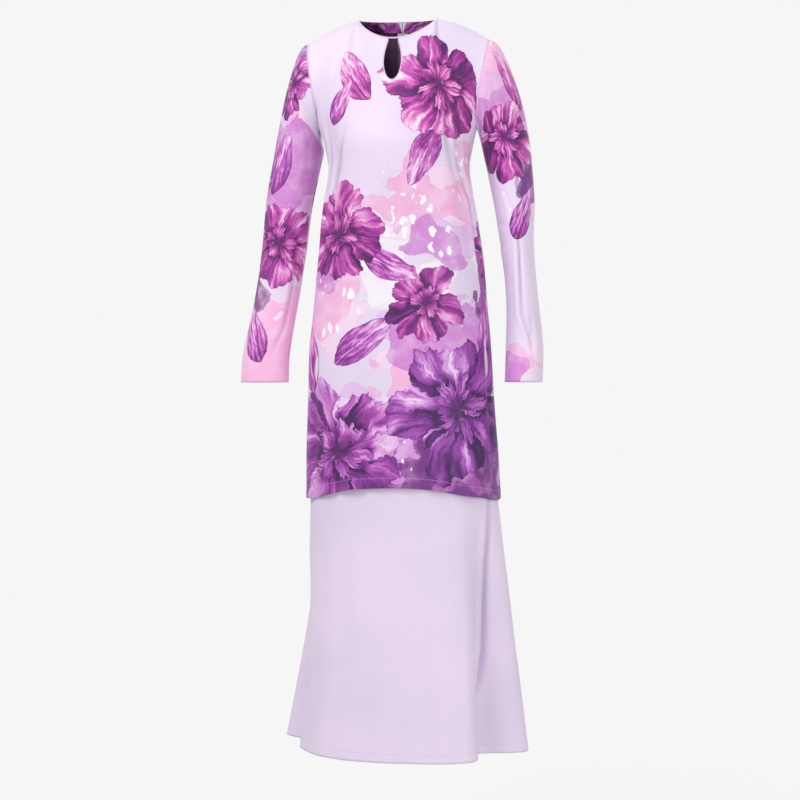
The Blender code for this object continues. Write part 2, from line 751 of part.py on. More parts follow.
def make_facing(side, collection):
    """Half of the back neck facing, slanted away from the zip and raised over its tape."""
    rows = []
    for i in range(FACING_ROWS + 1):
        w = 1.0 - i / FACING_ROWS
        row = []
        for j in range(FACING_COLUMNS + 1):
            u = FACING_END * j / FACING_COLUMNS
            neck_share = NECK_SHARE * u
            outer_share = (NECK_SHARE + FACING_SHOULDER_SHARE) * u
            share = neck_share + (outer_share - neck_share) * w
            level = 2.0 - w * FACING_NECK_ROWS * (1.0 - u ** 3)
            slant = FACING_TOP_OPEN + (FACING_LOW_OPEN - FACING_TOP_OPEN) * w
            start = share_across(slant, level)
            share = start + share * (1.0 - start / (NECK_SHARE + FACING_SHOULDER_SHARE * w))
            level -= FACING_NECK_GAP * (1.0 - w)
            x = tunic_point(share, level, False).x
            over_tape = 1.0 - ease((abs(x) - 1.4 * TAPE_WIDTH) / TAPE_WIDTH)
            off_tape = LAYER_GAP + FACING_EXTRA_GAP * (1.0 - over_tape)
            depth = WALL + off_tape + (TAPE_WALL + LAYER_GAP) * over_tape
            row.append(on_panel(side * share, level, False, depth))
        rows.append(row)
    if side > 0:
        rows = [list(reversed(row)) for row in rows]
    name = "back_facing_left" if side > 0 else "back_facing_right"
    return add_cloth(name, rows, collection, "printed_crepe", FACING_WALL)


def make_zip_tape(side, collection):
    """One tape of the zip, on the back's inner face beside its centre."""
    rows = []
    lowest = (TUNIC_ROWS.index(ZIP_BOTTOM) + 1) / (len(TUNIC_ROWS) + 1)
    for level in tunic_levels():
        if level < lowest - 0.001:
            continue
        row = []
        for x in (TAPE_CENTRE_GAP / 2, TAPE_WIDTH):
            share = share_across(x, level)
            row.append(on_panel(side * share, level, False, WALL + LAYER_GAP))
        rows.append(row)
    if side > 0:
        rows = [list(reversed(row)) for row in rows]
    trim_rows(rows, SHOULDER_TRIM)
    name = "zip_tape_left" if side > 0 else "zip_tape_right"
    return add_cloth(name, rows, collection, "zip_tape", TAPE_WALL)


def zip_frame():
    """The slider's middle on the cloth and its tilt: the turn about X that lays it on the back."""
    level = level_at(NECK_BACK.z - SLIDER_DROP)
    point, out = back_frame(0.0, level)
    return point, out, atan2(out.z, out.y)


def make_zip_empty(collection):
    """An empty on the pull tab's hinge axis, tilted as the back is there."""
    point, out, tilt = zip_frame()
    pivot = bpy.data.objects.new("zip_pivot", None)
    pivot.location = point + out * (SLIDER_SEAT + SLIDER_SIZE.y + PIVOT_RISE)
    pivot.rotation_euler.x = tilt
    collection.objects.link(pivot)
    return pivot


def make_zip_slider(pivot, collection):
    """The slider's body and the bail over it that holds the pull tab, as one piece."""
    bpy.ops.mesh.primitive_cube_add(size=1.0)
    body = bpy.context.object
    body.name = "zip_slider"
    body.data.transform(Matrix.Diagonal((*SLIDER_SIZE, 1.0)))
    for holder in list(body.users_collection):
        holder.objects.unlink(body)
    collection.objects.link(body)
    body.data.materials.append(finish("zip_metal"))
    bevel = body.modifiers.new("edges", "BEVEL")
    bevel.width = SLIDER_BEVEL
    bevel.segments = 1
    middle_y = -PIVOT_RISE - SLIDER_SIZE.y / 2
    top_y = -PIVOT_RISE + BAIL_RISE
    line = [
        (0.0, middle_y, BAIL_HALF_LENGTH),
        (0.0, top_y - BAIL_CORNER, BAIL_HALF_LENGTH),
        (0.0, top_y, BAIL_HALF_LENGTH - BAIL_CORNER),
        (0.0, top_y, -BAIL_HALF_LENGTH + BAIL_CORNER),
        (0.0, top_y - BAIL_CORNER, -BAIL_HALF_LENGTH),
        (0.0, middle_y, -BAIL_HALF_LENGTH),
    ]
    bail = add_cord("zip_bail", line, BAIL_RADIUS, collection, "zip_metal")
    body.location = (0.0, middle_y, 0.0)
    join = body.modifiers.new("bail", "BOOLEAN")
    join.operation = "UNION"
    join.object = bail
    for piece in (body, bail):
        piece.parent = pivot
    bpy.context.view_layer.update()
    evaluated = body.evaluated_get(bpy.context.evaluated_depsgraph_get())
    mesh = bpy.data.meshes.new_from_object(evaluated)
    body.modifiers.clear()
    body.data = mesh
    bpy.data.objects.remove(bail)
    return body


def make_zip_pull(pivot, collection):
    """The flat pull tab with its eye, hanging down from its bar on the hinge axis."""
    curve = bpy.data.curves.new("zip_pull", "CURVE")
    curve.dimensions = "2D"
    curve.fill_mode = "BOTH"
    curve.extrude = PULL_THICKNESS / 2
    top = PULL_BAR / 2
    bottom = top - PULL_LENGTH
    half = PULL_WIDTH / 2
    neck = half * PULL_NECK
    outer = [(neck, top), (-neck, top), (-neck, bottom + 2 * half)]
    for i in range(PULL_ROUND_STEPS + 1):
        turn = pi * i / PULL_ROUND_STEPS
        outer.append((-half * cos(turn), bottom + half - half * sin(turn)))
    outer.append((neck, bottom + 2 * half))
    eye_top = -PULL_BAR / 2
    eye_half = PULL_EYE_WIDTH / 2
    eye = [(eye_half, eye_top), (eye_half, eye_top - PULL_EYE_LENGTH),
           (-eye_half, eye_top - PULL_EYE_LENGTH), (-eye_half, eye_top)]
    for outline in (outer, eye):
        spline = curve.splines.new("POLY")
        spline.points.add(len(outline) - 1)
        for point, (x, y) in zip(spline.points, outline):
            point.co = (x, y, 0.0, 1.0)
        spline.use_cyclic_u = True
    flat = bpy.data.objects.new("zip_pull_outline", curve)
    collection.objects.link(flat)
    mesh = welded_mesh(flat)
    bpy.data.objects.remove(flat)
    pull = add_part("zip_pull", mesh, collection, "zip_metal")
    pull.data.set_sharp_from_angle(angle=radians(40))
    pull.rotation_euler.x = pi / 2
    pull.parent = pivot
    return pull


def build():
    clear_scene()
    parts = new_collection("baju_kurung")
    cutters = new_collection("cutters")
    make_tunic_front(parts, cutters)
    for side in (1.0, -1.0):
        make_tunic_back(side, parts)
        make_facing(side, parts)
        make_zip_tape(side, parts)
    make_sleeve("sleeve_left", LEFT_SLEEVE, 1.0, parts)
    make_sleeve("sleeve_right", RIGHT_SLEEVE, -1.0, parts)
    make_neck_binding(parts)
    make_keyhole_binding(parts)
    make_skirt_panel("skirt_front", -90.0, parts)
    make_skirt_panel("skirt_back", 90.0, parts)
    make_waistband(parts)
    pivot = make_zip_empty(parts)
    make_zip_slider(pivot, parts)
    make_zip_pull(pivot, parts)
    bpy.context.view_layer.update()


build()
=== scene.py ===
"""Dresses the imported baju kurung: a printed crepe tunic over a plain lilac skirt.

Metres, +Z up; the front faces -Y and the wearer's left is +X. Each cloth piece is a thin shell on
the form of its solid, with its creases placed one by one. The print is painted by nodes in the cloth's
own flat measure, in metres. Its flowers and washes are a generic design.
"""
from collections import namedtuple
from math import cos, pi, radians, sin

import bpy
import numpy as np
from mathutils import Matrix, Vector


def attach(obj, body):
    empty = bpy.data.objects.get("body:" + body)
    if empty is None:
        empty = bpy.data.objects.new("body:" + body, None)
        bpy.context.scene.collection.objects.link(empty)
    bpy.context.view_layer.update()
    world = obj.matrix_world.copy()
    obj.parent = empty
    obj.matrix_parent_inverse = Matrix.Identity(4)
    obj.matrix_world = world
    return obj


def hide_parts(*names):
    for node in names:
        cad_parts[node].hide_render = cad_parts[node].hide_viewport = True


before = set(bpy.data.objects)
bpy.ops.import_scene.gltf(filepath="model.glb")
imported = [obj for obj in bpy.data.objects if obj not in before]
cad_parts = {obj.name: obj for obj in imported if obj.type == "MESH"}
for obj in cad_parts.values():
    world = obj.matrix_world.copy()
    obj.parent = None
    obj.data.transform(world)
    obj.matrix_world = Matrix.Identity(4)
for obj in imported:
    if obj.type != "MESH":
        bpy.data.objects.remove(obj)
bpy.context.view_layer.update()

# Form of the solids
NECK_HALF_WIDTH = 0.074
NECK_FRONT = (0.0, -0.085, -0.0533)
NECK_BACK = (0.0, 0.055, 0.008)
NECK_FRONT_CURVE = 1.5
SHOULDER_TIP = (0.1724, 0.0, -0.0440)
SHOULDER_CROWN = 0.006
SHOULDER_ARRIVAL = 0.10
UNDERARM_HEIGHT = -0.211
UNDERARM_HALF_WIDTH = 0.1475
ARMHOLE_FRONT_DEPTH = 0.052
ARMHOLE_BACK_DEPTH = 0.056
ARMHOLE_X_POWER = 1.12
NECK_SHARE = 5 / 12
YOKE_CROWDING = 1.4
YOKE_ARRIVAL = (0.30, 0.95)
YOKE_SEAM_PULL = 4
NORMAL_STEP = 0.012
HEM_FRONT_HEIGHT = -0.875
HEM_SIDE_DROP = 0.022
HEM_BACK_DROP = 0.018
Dip = namedtuple("Dip", "angle spread depth")
HEM_DIPS = (
    Dip(-66, 20, 0.0050),
    Dip(-28, 11, -0.0016),
    Dip(44, 14, 0.0028),
    Dip(80, 20, 0.0052),
    Dip(156, 16, 0.0022),
    Dip(214, 18, 0.0026),
)
SLIT_TOP = -0.852
SLIT_FRONT_ANGLE = 2.6
SLIT_BACK_ANGLE = 0.5
KEYHOLE_DEPTH = 0.081
KEYHOLE_TOP_WIDTH = 0.017
KEYHOLE_WIDTH = 0.0335
KEYHOLE_WIDEST = 0.55
ZIP_BOTTOM = -0.3397

Section = namedtuple("Section", "z half_width centre_x front_y back_y")
TUNIC_SECTIONS = (
    Section(-0.2110, 0.1475, 0.000, -0.130, 0.100),
    Section(-0.2455, 0.1380, 0.002, -0.137, 0.101),
    Section(-0.2832, 0.1315, 0.003, -0.136, 0.098),
    Section(-0.3397, 0.1390, 0.004, -0.130, 0.092),
    Section(-0.4000, 0.1480, 0.005, -0.125, 0.089),
    Section(-0.4700, 0.1572, 0.005, -0.123, 0.093),
    Section(-0.5450, 0.1640, 0.004, -0.124, 0.103),
    Section(-0.6200, 0.1714, 0.003, -0.127, 0.112),
    Section(-0.7165, 0.1755, 0.004, -0.130, 0.119),
    Section(-0.8107, 0.1805, 0.006, -0.134, 0.124),
    Section(-0.8900, 0.1830, 0.008, -0.138, 0.130),
)
TUNIC_ROWS = tuple(section.z for section in TUNIC_SECTIONS[-2:0:-1])

Drape = namedtuple("Drape", "angle spread outward top bottom")
TUNIC_DRAPES = (
    Drape(63, 8, -0.006, -0.13, -0.50),
    Drape(44, 9, 0.003, -0.17, -0.55),
    Drape(-55, 8, -0.005, -0.14, -0.46),
    Drape(-74, 8, 0.003, -0.20, -0.52),
    Drape(122, 9, -0.005, -0.14, -0.52),
    Drape(-126, 9, -0.005, -0.13, -0.50),
    Drape(-58, 11, -0.004, -0.66, -1.13),
    Drape(-22, 11, 0.003, -0.68, -1.12),
    Drape(14, 10, -0.003, -0.70, -1.10),
    Drape(47, 10, 0.004, -0.66, -1.13),
    Drape(112, 12, 0.004, -0.66, -1.12),
    Drape(150, 12, -0.004, -0.66, -1.12),
    Drape(208, 12, 0.004, -0.68, -1.12),
    Drape(240, 11, -0.004, -0.66, -1.12),
)

Station = namedtuple("Station", "z centre_x centre_y half_width girth")
LEFT_SLEEVE = (
    Station(-0.2455, 0.2016, 0.020, 0.0452, 0.345),
    Station(-0.3400, 0.2150, 0.016, 0.0390, 0.315),
    Station(-0.4339, 0.2225, 0.008, 0.0308, 0.290),
    Station(-0.5300, 0.2325, -0.010, 0.0298, 0.268),
    Station(-0.6223, 0.2375, -0.036, 0.0345, 0.256),
    Station(-0.6835, 0.2365, -0.052, 0.0345, 0.252),
)
RIGHT_SLEEVE = (
    Station(-0.2455, -0.1940, 0.020, 0.0462, 0.345),
    Station(-0.3400, -0.2120, 0.016, 0.0443, 0.315),
    Station(-0.4339, -0.2212, 0.008, 0.0424, 0.290),
    Station(-0.5300, -0.2325, -0.010, 0.0415, 0.268),
    Station(-0.6223, -0.2455, -0.036, 0.0432, 0.256),
    Station(-0.6835, -0.2465, -0.052, 0.0450, 0.252),
)
CAP_OUT_LENGTH = 0.08
CAP_DOWN_LENGTH = 0.22
CAP_FULLNESS = 0.45
CAP_TOP_WAY = np.array((1.0, 0.0, 0.10))
CAP_LOW_WAY = np.array((0.40, 0.0, -0.92))
CAP_SLOPE_STEP = 0.02
UNDERARM_OUT_LENGTH = 0.03

SKIRT_TOP = -0.425
HIP_HEIGHT = -0.6200
HIP_SEAT = 0.0022
HIP_REACH = 0.04
SKIRT_HEM = -1.364
SKIRT_SECTIONS = (
    Section(-0.4250, 0.1290, 0.002, -0.100, 0.078),
    Section(-0.5000, 0.1500, 0.003, -0.113, 0.090),
    Section(-0.5600, 0.1605, 0.003, -0.119, 0.100),
    Section(HIP_HEIGHT, 0.1714, 0.003, -0.127, 0.112),
    Section(-0.7165, 0.1705, 0.003, -0.125, 0.113),
    Section(-0.8107, 0.1735, 0.006, -0.127, 0.116),
    Section(-0.9000, 0.1765, 0.010, -0.131, 0.121),
    Section(-1.0500, 0.1820, 0.012, -0.139, 0.138),
    Section(-1.2100, 0.1900, 0.011, -0.149, 0.160),
    Section(SKIRT_HEM, 0.2000, 0.008, -0.160, 0.185),
)
FLUTE_GROWTH = 0.95
Flute = namedtuple("Flute", "angle outward starts")
SKIRT_FLUTES = (
    Flute(0, 0.004, -0.95),
    Flute(38, 0.024, -0.90),
    Flute(57, -0.024, -0.88),
    Flute(78, 0.041, -0.895),
    Flute(103, -0.010, -0.95),
    Flute(124, 0.026, -0.98),
    Flute(146, -0.014, -0.90),
    Flute(168, 0.022, -0.95),
    Flute(190, -0.016, -0.92),
    Flute(213, 0.024, -0.98),
    Flute(233, -0.012, -0.95),
    Flute(255, 0.043, -1.06),
    Flute(273, -0.030, -1.00),
    Flute(292, 0.002, -0.95),
    Flute(325, 0.008, -0.95),
)
BAND_HEIGHT = 0.030
BAND_THICKNESS = 0.003

# Cloth of the shells
CLOTH = 0.0007
HEM_FOLD = 0.0006
HEM_STEP = 0.003
TUNIC_HEM_DEPTH = 0.018
SLEEVE_HEM_DEPTH = 0.016
SKIRT_HEM_DEPTH = 0.016
SEAM_DIP = 0.0008
SEAM_REACH = 0.0022
CREASE_TAPER = 0.8
BESIDE_PLACE = 2.2
BESIDE_WIDTH = 1.4
BESIDE_RISE = 0.4
FOLD_STEEP = (0.30, 1.10)
SLOW_WAVES = ((38.0, 7.0), (55.0, 10.0), (72.0, 13.0), (89.0, 16.0), (106.0, 19.0))
WAVE_SWAY = 9.0
WAVE_SWAY_PACE = 6.0
WAVE_SEED_TURN = 1.7
WAVE_STEP_TURN = 2.3
TUNIC_WAVES = 0.0002
LOOSE_WAVES = 0.0003
CAD_WALL = 0.0015
CAD_GAP = 0.0003
FAR = 9.0

CROWDED_SAMPLES = 4001
FRONT_COLUMNS = 180
FRONT_LOWER_ROWS = 196
FRONT_YOKE_ROWS = 66
BACK_COLUMNS = 82
SLEEVE_COLUMNS = 108
SLEEVE_CAP_ROWS = 66
SLEEVE_ARM_ROWS = 130
SKIRT_COLUMNS = 160
SKIRT_ROWS = 220

# The keyhole's cut edge, and the part of the front in which it is looked for
KEYHOLE_TRIM = 0.0006
KEYHOLE_TRIM_STEPS = 24
KEYHOLE_OPEN_TOP = 0.02
KEYHOLE_REACH_X = 0.04
KEYHOLE_REACH_DOWN = 0.10
KEYHOLE_REACH_Y = -0.05

# Sewing, bindings and zip
BAKE_SPARE = 1.02
BAKE_EDGE = 0.01
TUBE_END = 0.45
ARMHOLE_SEAM = (0.0011, 0.0015)
ARMHOLE_SEAM_STEPS = 120
ARMHOLE_SEAM_WAY = (0.5, 0.4)
NECK_BAND = (0.0010, 0.0017)
NECK_BAND_STEPS = 121
NECK_BAND_SHARE = 0.985
NECK_BAND_LEVEL_STEP = 0.01
KEYHOLE_BAND = (0.0009, 0.0014)
KEYHOLE_BAND_STEPS = 48
KEYHOLE_BAND_START = 0.0012
BINDING_GROWTH = 0.0002
NEAR_NECK_X = 0.05
NEAR_NECK_Z = -0.17
STITCH_PITCH = 0.0034
STITCH_LENGTH = 0.0026
STITCH = (0.00020, 0.00034)
STITCH_LIFTS = (-0.00012, 0.00008, -0.00012)
ZIP_STITCH_REACH = 0.0075
TOOTH_PITCH = 0.0014
TOOTH = (0.00035, 0.00042)
TOOTH_HALF = 0.0008
TOOTH_PARTED = 0.0014
TOOTH_SUNK = 0.0002
SLIDER_REACH = (0.010, 0.022)
TAPE_WIDTH = 0.0100
TAPE_WALL = 0.0008
FACING_SHOULDER_SHARE = 0.17
FACING_END = 0.88
FACING_EXTRA_GAP = 0.0010
FACING_NECK_GAP = 0.012
FACING_COLUMNS = 64
FACING_ROWS = 28
FACING_NECK_ROWS = 0.18
FACING_TOP_OPEN = 0.0080
FACING_LOW_OPEN = 0.0016
FACING_OVER_TAPE = 1.4
FACING_CUT_TOP = -0.03
CENTRE_PARTS = 24.0
BAND_GATHERS = 84
BAND_GATHER_DEPTH = 0.0007
BAND_STITCH_ROWS = 3.0
BAND_STITCH_DEPTH = 0.0004
BAND_STITCH_HOLD = 0.6
BAND_CLOTH = 0.0018
BAND_COLUMNS = 504
BAND_ROWS = 14

# A crease is a line over the flat cloth: its depth is below 0 for a trough and above 0 for a ridge
Crease = namedtuple("Crease", "path depth width")
FRONT_CREASES = (
    Crease(((0.104, -0.160), (0.128, -0.224), (0.133, -0.262), (0.152, -0.312), (0.168, -0.360),
            (0.170, -0.420), (0.174, -0.480)), -0.0062, 0.0046),
    Crease(((0.113, -0.150), (0.105, -0.200), (0.106, -0.250), (0.127, -0.312)), -0.0048, 0.0060),
    Crease(((0.142, -0.190), (0.150, -0.245), (0.163, -0.300)), 0.0030, 0.0048),
    Crease(((-0.084, -0.210), (-0.107, -0.256), (-0.127, -0.304), (-0.136, -0.350),
            (-0.130, -0.430)), -0.0058, 0.0044),
    Crease(((-0.140, -0.190), (-0.148, -0.275), (-0.160, -0.330), (-0.163, -0.410)), -0.0042, 0.0048),
    Crease(((-0.166, -0.225), (-0.170, -0.300), (-0.155, -0.470)), -0.0030, 0.0065),
    Crease(((0.188, -0.540), (0.200, -0.700), (0.214, -0.950)), -0.0032, 0.0080),
    Crease(((0.103, -0.650), (0.108, -0.780), (0.098, -1.080)), -0.0036, 0.0130),
    Crease(((-0.048, -0.690), (-0.054, -0.800), (-0.040, -1.080)), -0.0030, 0.0120),
    Crease(((-0.160, -0.590), (-0.176, -0.740), (-0.182, -0.960)), -0.0028, 0.0100),
    Crease(((-0.118, -0.780), (-0.106, -1.080)), -0.0034, 0.0100),
    Crease(((0.030, -0.790), (0.020, -1.080)), 0.0028, 0.0120),
    Crease(((0.150, -0.810), (0.160, -1.080)), 0.0026, 0.0090),
    Crease(((0.112, -0.030), (0.128, -0.080), (0.132, -0.130)), -0.0012, 0.0080),
    Crease(((-0.120, -0.045), (-0.131, -0.095), (-0.128, -0.140)), -0.0012, 0.0080),
    Crease(((0.062, -0.395), (0.108, -0.372), (0.150, -0.376)), -0.0012, 0.0075),
    Crease(((-0.140, -0.405), (-0.092, -0.388), (-0.050, -0.398)), -0.0011, 0.0080),
)
BACK_CREASES = (
    Crease(((-0.108, -0.160), (-0.128, -0.230), (-0.136, -0.290), (-0.125, -0.360),
            (-0.112, -0.430)), -0.0036, 0.0070),
    Crease(((-0.150, -0.200), (-0.158, -0.280), (-0.150, -0.360)), -0.0024, 0.0060),
    Crease(((0.100, -0.170), (0.122, -0.240), (0.137, -0.300), (0.141, -0.390)), -0.0032, 0.0070),
    Crease(((0.155, -0.215), (0.166, -0.300), (0.160, -0.430)), -0.0022, 0.0065),
    Crease(((-0.088, -0.368), (-0.045, -0.384), (0.004, -0.388)), -0.0022, 0.0065),
    Crease(((-0.004, -0.388), (0.040, -0.382), (0.095, -0.362)), -0.0020, 0.0065),
    Crease(((-0.060, -0.420), (-0.020, -0.430), (0.030, -0.426)), -0.0014, 0.0070),
    Crease(((-0.070, -0.335), (-0.028, -0.350), (0.036, -0.346)), -0.0014, 0.0080),
    Crease(((-0.180, -0.560), (-0.195, -0.720), (-0.205, -0.960)), -0.0030, 0.0090),
    Crease(((-0.085, -0.640), (-0.095, -0.780), (-0.088, -0.970)), -0.0024, 0.0130),
    Crease(((0.060, -0.660), (0.052, -0.800), (0.060, -0.970)), -0.0022, 0.0120),
    Crease(((0.170, -0.580), (0.188, -0.740), (0.196, -0.960)), -0.0028, 0.0090),
    Crease(((0.120, -0.820), (0.126, -0.960)), 0.0016, 0.0080),
    Crease(((-0.135, -0.830), (-0.128, -0.960)), 0.0015, 0.0085),
)
LEFT_SLEEVE_CREASES = (
    Crease(((-0.090, -0.335), (-0.080, -0.366), (-0.078, -0.378), (-0.066, -0.418), (-0.064, -0.448),
            (-0.067, -0.527), (-0.066, -0.566), (-0.052, -0.603), (-0.042, -0.650)), -0.0048, 0.0038),
    Crease(((-0.064, -0.603), (-0.042, -0.607)), -0.0012, 0.0026),
    Crease(((-0.082, -0.378), (-0.030, -0.384), (0.012, -0.382)), -0.0026, 0.0038),
    Crease(((-0.047, -0.560), (-0.044, -0.640)), -0.0020, 0.0050),
    Crease(((-0.026, -0.550), (-0.018, -0.660)), -0.0018, 0.0060),
    Crease(((-0.122, -0.140), (-0.136, -0.200), (-0.130, -0.290)), -0.0022, 0.0060),
    Crease(((-0.090, -0.100), (-0.103, -0.170), (-0.098, -0.250)), -0.0016, 0.0080),
    Crease(((-0.150, -0.370), (-0.118, -0.392), (-0.086, -0.398)), -0.0018, 0.0050),
    Crease(((-0.148, -0.425), (-0.122, -0.436), (-0.092, -0.430)), -0.0014, 0.0050),
    Crease(((0.085, -0.150), (0.103, -0.250), (0.088, -0.350)), -0.0022, 0.0065),
    Crease(((0.018, -0.350), (0.070, -0.368), (0.128, -0.358)), -0.0024, 0.0050),
    Crease(((0.032, -0.392), (0.080, -0.402), (0.124, -0.392)), -0.0018, 0.0050),
    Crease(((0.058, -0.430), (0.074, -0.510), (0.066, -0.600)), -0.0024, 0.0050),
    Crease(((0.112, -0.480), (0.106, -0.580), (0.094, -0.690)), -0.0018, 0.0060),
)
RIGHT_SLEEVE_CREASES = (
    Crease(((0.098, -0.150), (0.114, -0.225), (0.122, -0.310)), -0.0024, 0.0060),
    Crease(((0.070, -0.095), (0.082, -0.160), (0.078, -0.240)), -0.0014, 0.0085),
    Crease(((0.104, -0.350), (0.108, -0.470), (0.099, -0.590), (0.078, -0.650)), -0.0036, 0.0048),
    Crease(((0.052, -0.410), (0.046, -0.520), (0.054, -0.640)), -0.0020, 0.0065),
    Crease(((0.138, -0.365), (0.104, -0.384), (0.068, -0.386)), -0.0016, 0.0048),
    Crease(((0.142, -0.420), (0.118, -0.432), (0.090, -0.428)), -0.0014, 0.0048),
    Crease(((0.018, -0.560), (0.024, -0.680)), -0.0016, 0.0060),
    Crease(((-0.086, -0.150), (-0.100, -0.240), (-0.090, -0.350)), -0.0024, 0.0065),
    Crease(((-0.014, -0.352), (-0.068, -0.370), (-0.124, -0.360)), -0.0022, 0.0050),
    Crease(((-0.030, -0.396), (-0.078, -0.406), (-0.118, -0.396)), -0.0017, 0.0050),
    Crease(((-0.060, -0.425), (-0.072, -0.520), (-0.060, -0.620)), -0.0022, 0.0055),
    Crease(((-0.110, -0.470), (-0.104, -0.590), (-0.094, -0.700)), -0.0018, 0.0060),
)
SKIRT_FRONT_CREASES = (
    Crease(((0.198, -0.770), (0.191, -0.890), (0.186, -1.010), (0.190, -1.082), (0.199, -1.176),
            (0.199, -1.227), (0.194, -1.274), (0.184, -1.420)), -0.0076, 0.0060),
    Crease(((0.172, -1.000), (0.175, -1.155), (0.186, -1.300)), -0.0034, 0.0110),
    Crease(((-0.095, -0.930), (-0.102, -1.150), (-0.122, -1.430)), -0.0028, 0.0190),
    Crease(((0.036, -0.960), (0.040, -1.180), (0.052, -1.430)), -0.0024, 0.0200),
    Crease(((-0.205, -0.900), (-0.216, -1.080), (-0.222, -1.300)), -0.0028, 0.0100),
    Crease(((-0.020, -1.060), (-0.028, -1.430)), 0.0022, 0.0180),
    Crease(((0.128, -1.100), (0.136, -1.430)), 0.0020, 0.0150),
)
SKIRT_BACK_CREASES = (
    Crease(((-0.170, -0.900), (-0.182, -1.060), (-0.190, -1.430)), -0.0032, 0.0100),
    Crease(((-0.060, -0.930), (-0.066, -1.150), (-0.074, -1.430)), -0.0028, 0.0170),
    Crease(((0.070, -0.920), (0.080, -1.140), (0.086, -1.430)), -0.0028, 0.0160),
    Crease(((0.180, -0.910), (0.192, -1.090), (0.206, -1.430)), -0.0030, 0.0110),
    Crease(((0.010, -1.040), (0.014, -1.430)), 0.0022, 0.0170),
)

# Print: a flower or leaf by its place on the flat cloth. Tone runs from 0, magenta, to 1, violet.
Motif = namedtuple("Motif", "layer u v radius turn tone")
MOTIF_LAYERS = ("petal_a", "bloom_a", "petal_b", "bloom_b")
MOTIF_REACH = 1.3
MOTIF_SOLID = 1.15
MOTIF_SEED_STEP = 3.0
FRONT_MOTIFS = (
    Motif("bloom_a", 0.092, -0.146, 0.122, 200, 0.05),
    Motif("bloom_b", -0.112, -0.415, 0.108, 120, 0.15),
    Motif("bloom_a", 0.060, -0.545, 0.086, 20, 0.25),
    Motif("bloom_b", 0.125, -0.735, 0.156, 150, 0.90),
    Motif("bloom_a", -0.105, -0.815, 0.156, 75, 0.72),
    Motif("bloom_b", 0.225, -0.445, 0.078, 33, 0.25),
    Motif("petal_a", -0.078, -0.120, 0.066, 128, 0.15),
    Motif("petal_b", -0.100, -0.172, 0.046, 62, 0.35),
    Motif("petal_a", 0.058, -0.278, 0.060, 240, 0.45),
    Motif("petal_b", -0.010, -0.475, 0.058, -25, 0.55),
    Motif("petal_a", -0.055, -0.610, 0.070, 35, 0.70),
    Motif("petal_b", -0.190, -0.640, 0.070, 100, 0.45),
    Motif("petal_a", 0.200, -0.590, 0.070, 80, 0.60),
)
BACK_MOTIFS = (
    Motif("bloom_a", -0.080, -0.190, 0.112, 15, 0.10),
    Motif("bloom_b", 0.105, -0.365, 0.098, 50, 0.20),
    Motif("bloom_a", -0.120, -0.520, 0.096, 28, 0.30),
    Motif("bloom_b", 0.020, -0.755, 0.155, 20, 0.55),
    Motif("bloom_a", 0.190, -0.640, 0.085, 60, 0.25),
    Motif("bloom_a", -0.170, -0.805, 0.110, 40, 0.45),
    Motif("petal_a", 0.070, -0.180, 0.062, 130, 0.30),
    Motif("petal_b", -0.020, -0.400, 0.058, 60, 0.60),
    Motif("petal_a", 0.065, -0.560, 0.066, 25, 0.65),
    Motif("petal_b", -0.075, -0.640, 0.070, 140, 0.75),
)
LEFT_SLEEVE_MOTIFS = (
    Motif("bloom_a", -0.085, -0.235, 0.088, 25, 0.10),
    Motif("bloom_b", 0.090, -0.330, 0.080, 60, 0.30),
    Motif("bloom_b", 0.110, -0.565, 0.066, 5, 0.20),
    Motif("petal_a", -0.040, -0.120, 0.060, 100, 0.20),
    Motif("petal_b", -0.055, -0.375, 0.052, 70, 0.60),
    Motif("petal_a", 0.030, -0.520, 0.050, 110, 0.50),
)
RIGHT_SLEEVE_MOTIFS = (
    Motif("bloom_a", 0.060, -0.120, 0.078, 35, 0.20),
    Motif("bloom_b", 0.075, -0.425, 0.092, 10, 0.15),
    Motif("bloom_a", -0.095, -0.330, 0.080, 60, 0.40),
    Motif("petal_a", 0.060, -0.270, 0.062, 80, 0.65),
    Motif("petal_b", 0.040, -0.600, 0.060, 110, 0.50),
    Motif("petal_a", -0.070, -0.570, 0.056, 50, 0.60),
)

# A wash is a patch of colour, thickest at its place; the kind fleck scatters pale flecks instead
Wash = namedtuple("Wash", "kind u v spread_u spread_v strength")
WASH_KINDS = ("pink", "orchid", "violet", "pale", "fleck")
FRONT_WASHES = (
    Wash("pink", 0.010, -0.350, 0.080, 0.060, 0.60),
    Wash("pink", 0.120, -0.330, 0.080, 0.070, 0.74),
    Wash("orchid", 0.080, -0.430, 0.080, 0.050, 0.62),
    Wash("pink", -0.150, -0.560, 0.080, 0.080, 0.76),
    Wash("pink", 0.020, -0.660, 0.070, 0.050, 0.62),
    Wash("orchid", 0.100, -0.600, 0.120, 0.055, 0.84),
    Wash("orchid", -0.190, -0.480, 0.050, 0.080, 0.70),
    Wash("orchid", -0.020, -0.850, 0.300, 0.100, 0.86),
    Wash("violet", 0.160, -0.830, 0.120, 0.075, 0.92),
    Wash("violet", -0.020, -0.905, 0.400, 0.035, 0.88),
    Wash("violet", 0.220, -0.500, 0.050, 0.100, 0.68),
    Wash("pale", -0.030, -0.490, 0.110, 0.070, 0.80),
    Wash("pale", 0.120, -0.450, 0.080, 0.040, 0.62),
    Wash("fleck", 0.030, -0.400, 0.120, 0.075, 1.00),
    Wash("fleck", 0.140, -0.300, 0.060, 0.060, 0.80),
    Wash("fleck", -0.110, -0.560, 0.080, 0.060, 0.90),
    Wash("fleck", 0.020, -0.850, 0.120, 0.040, 0.70),
)
FACING_MOTIFS = (
    Motif("bloom_a", 0.045, 0.015, 0.110, 90, 0.55),
    Motif("bloom_b", -0.055, 0.010, 0.100, 20, 0.35),
)
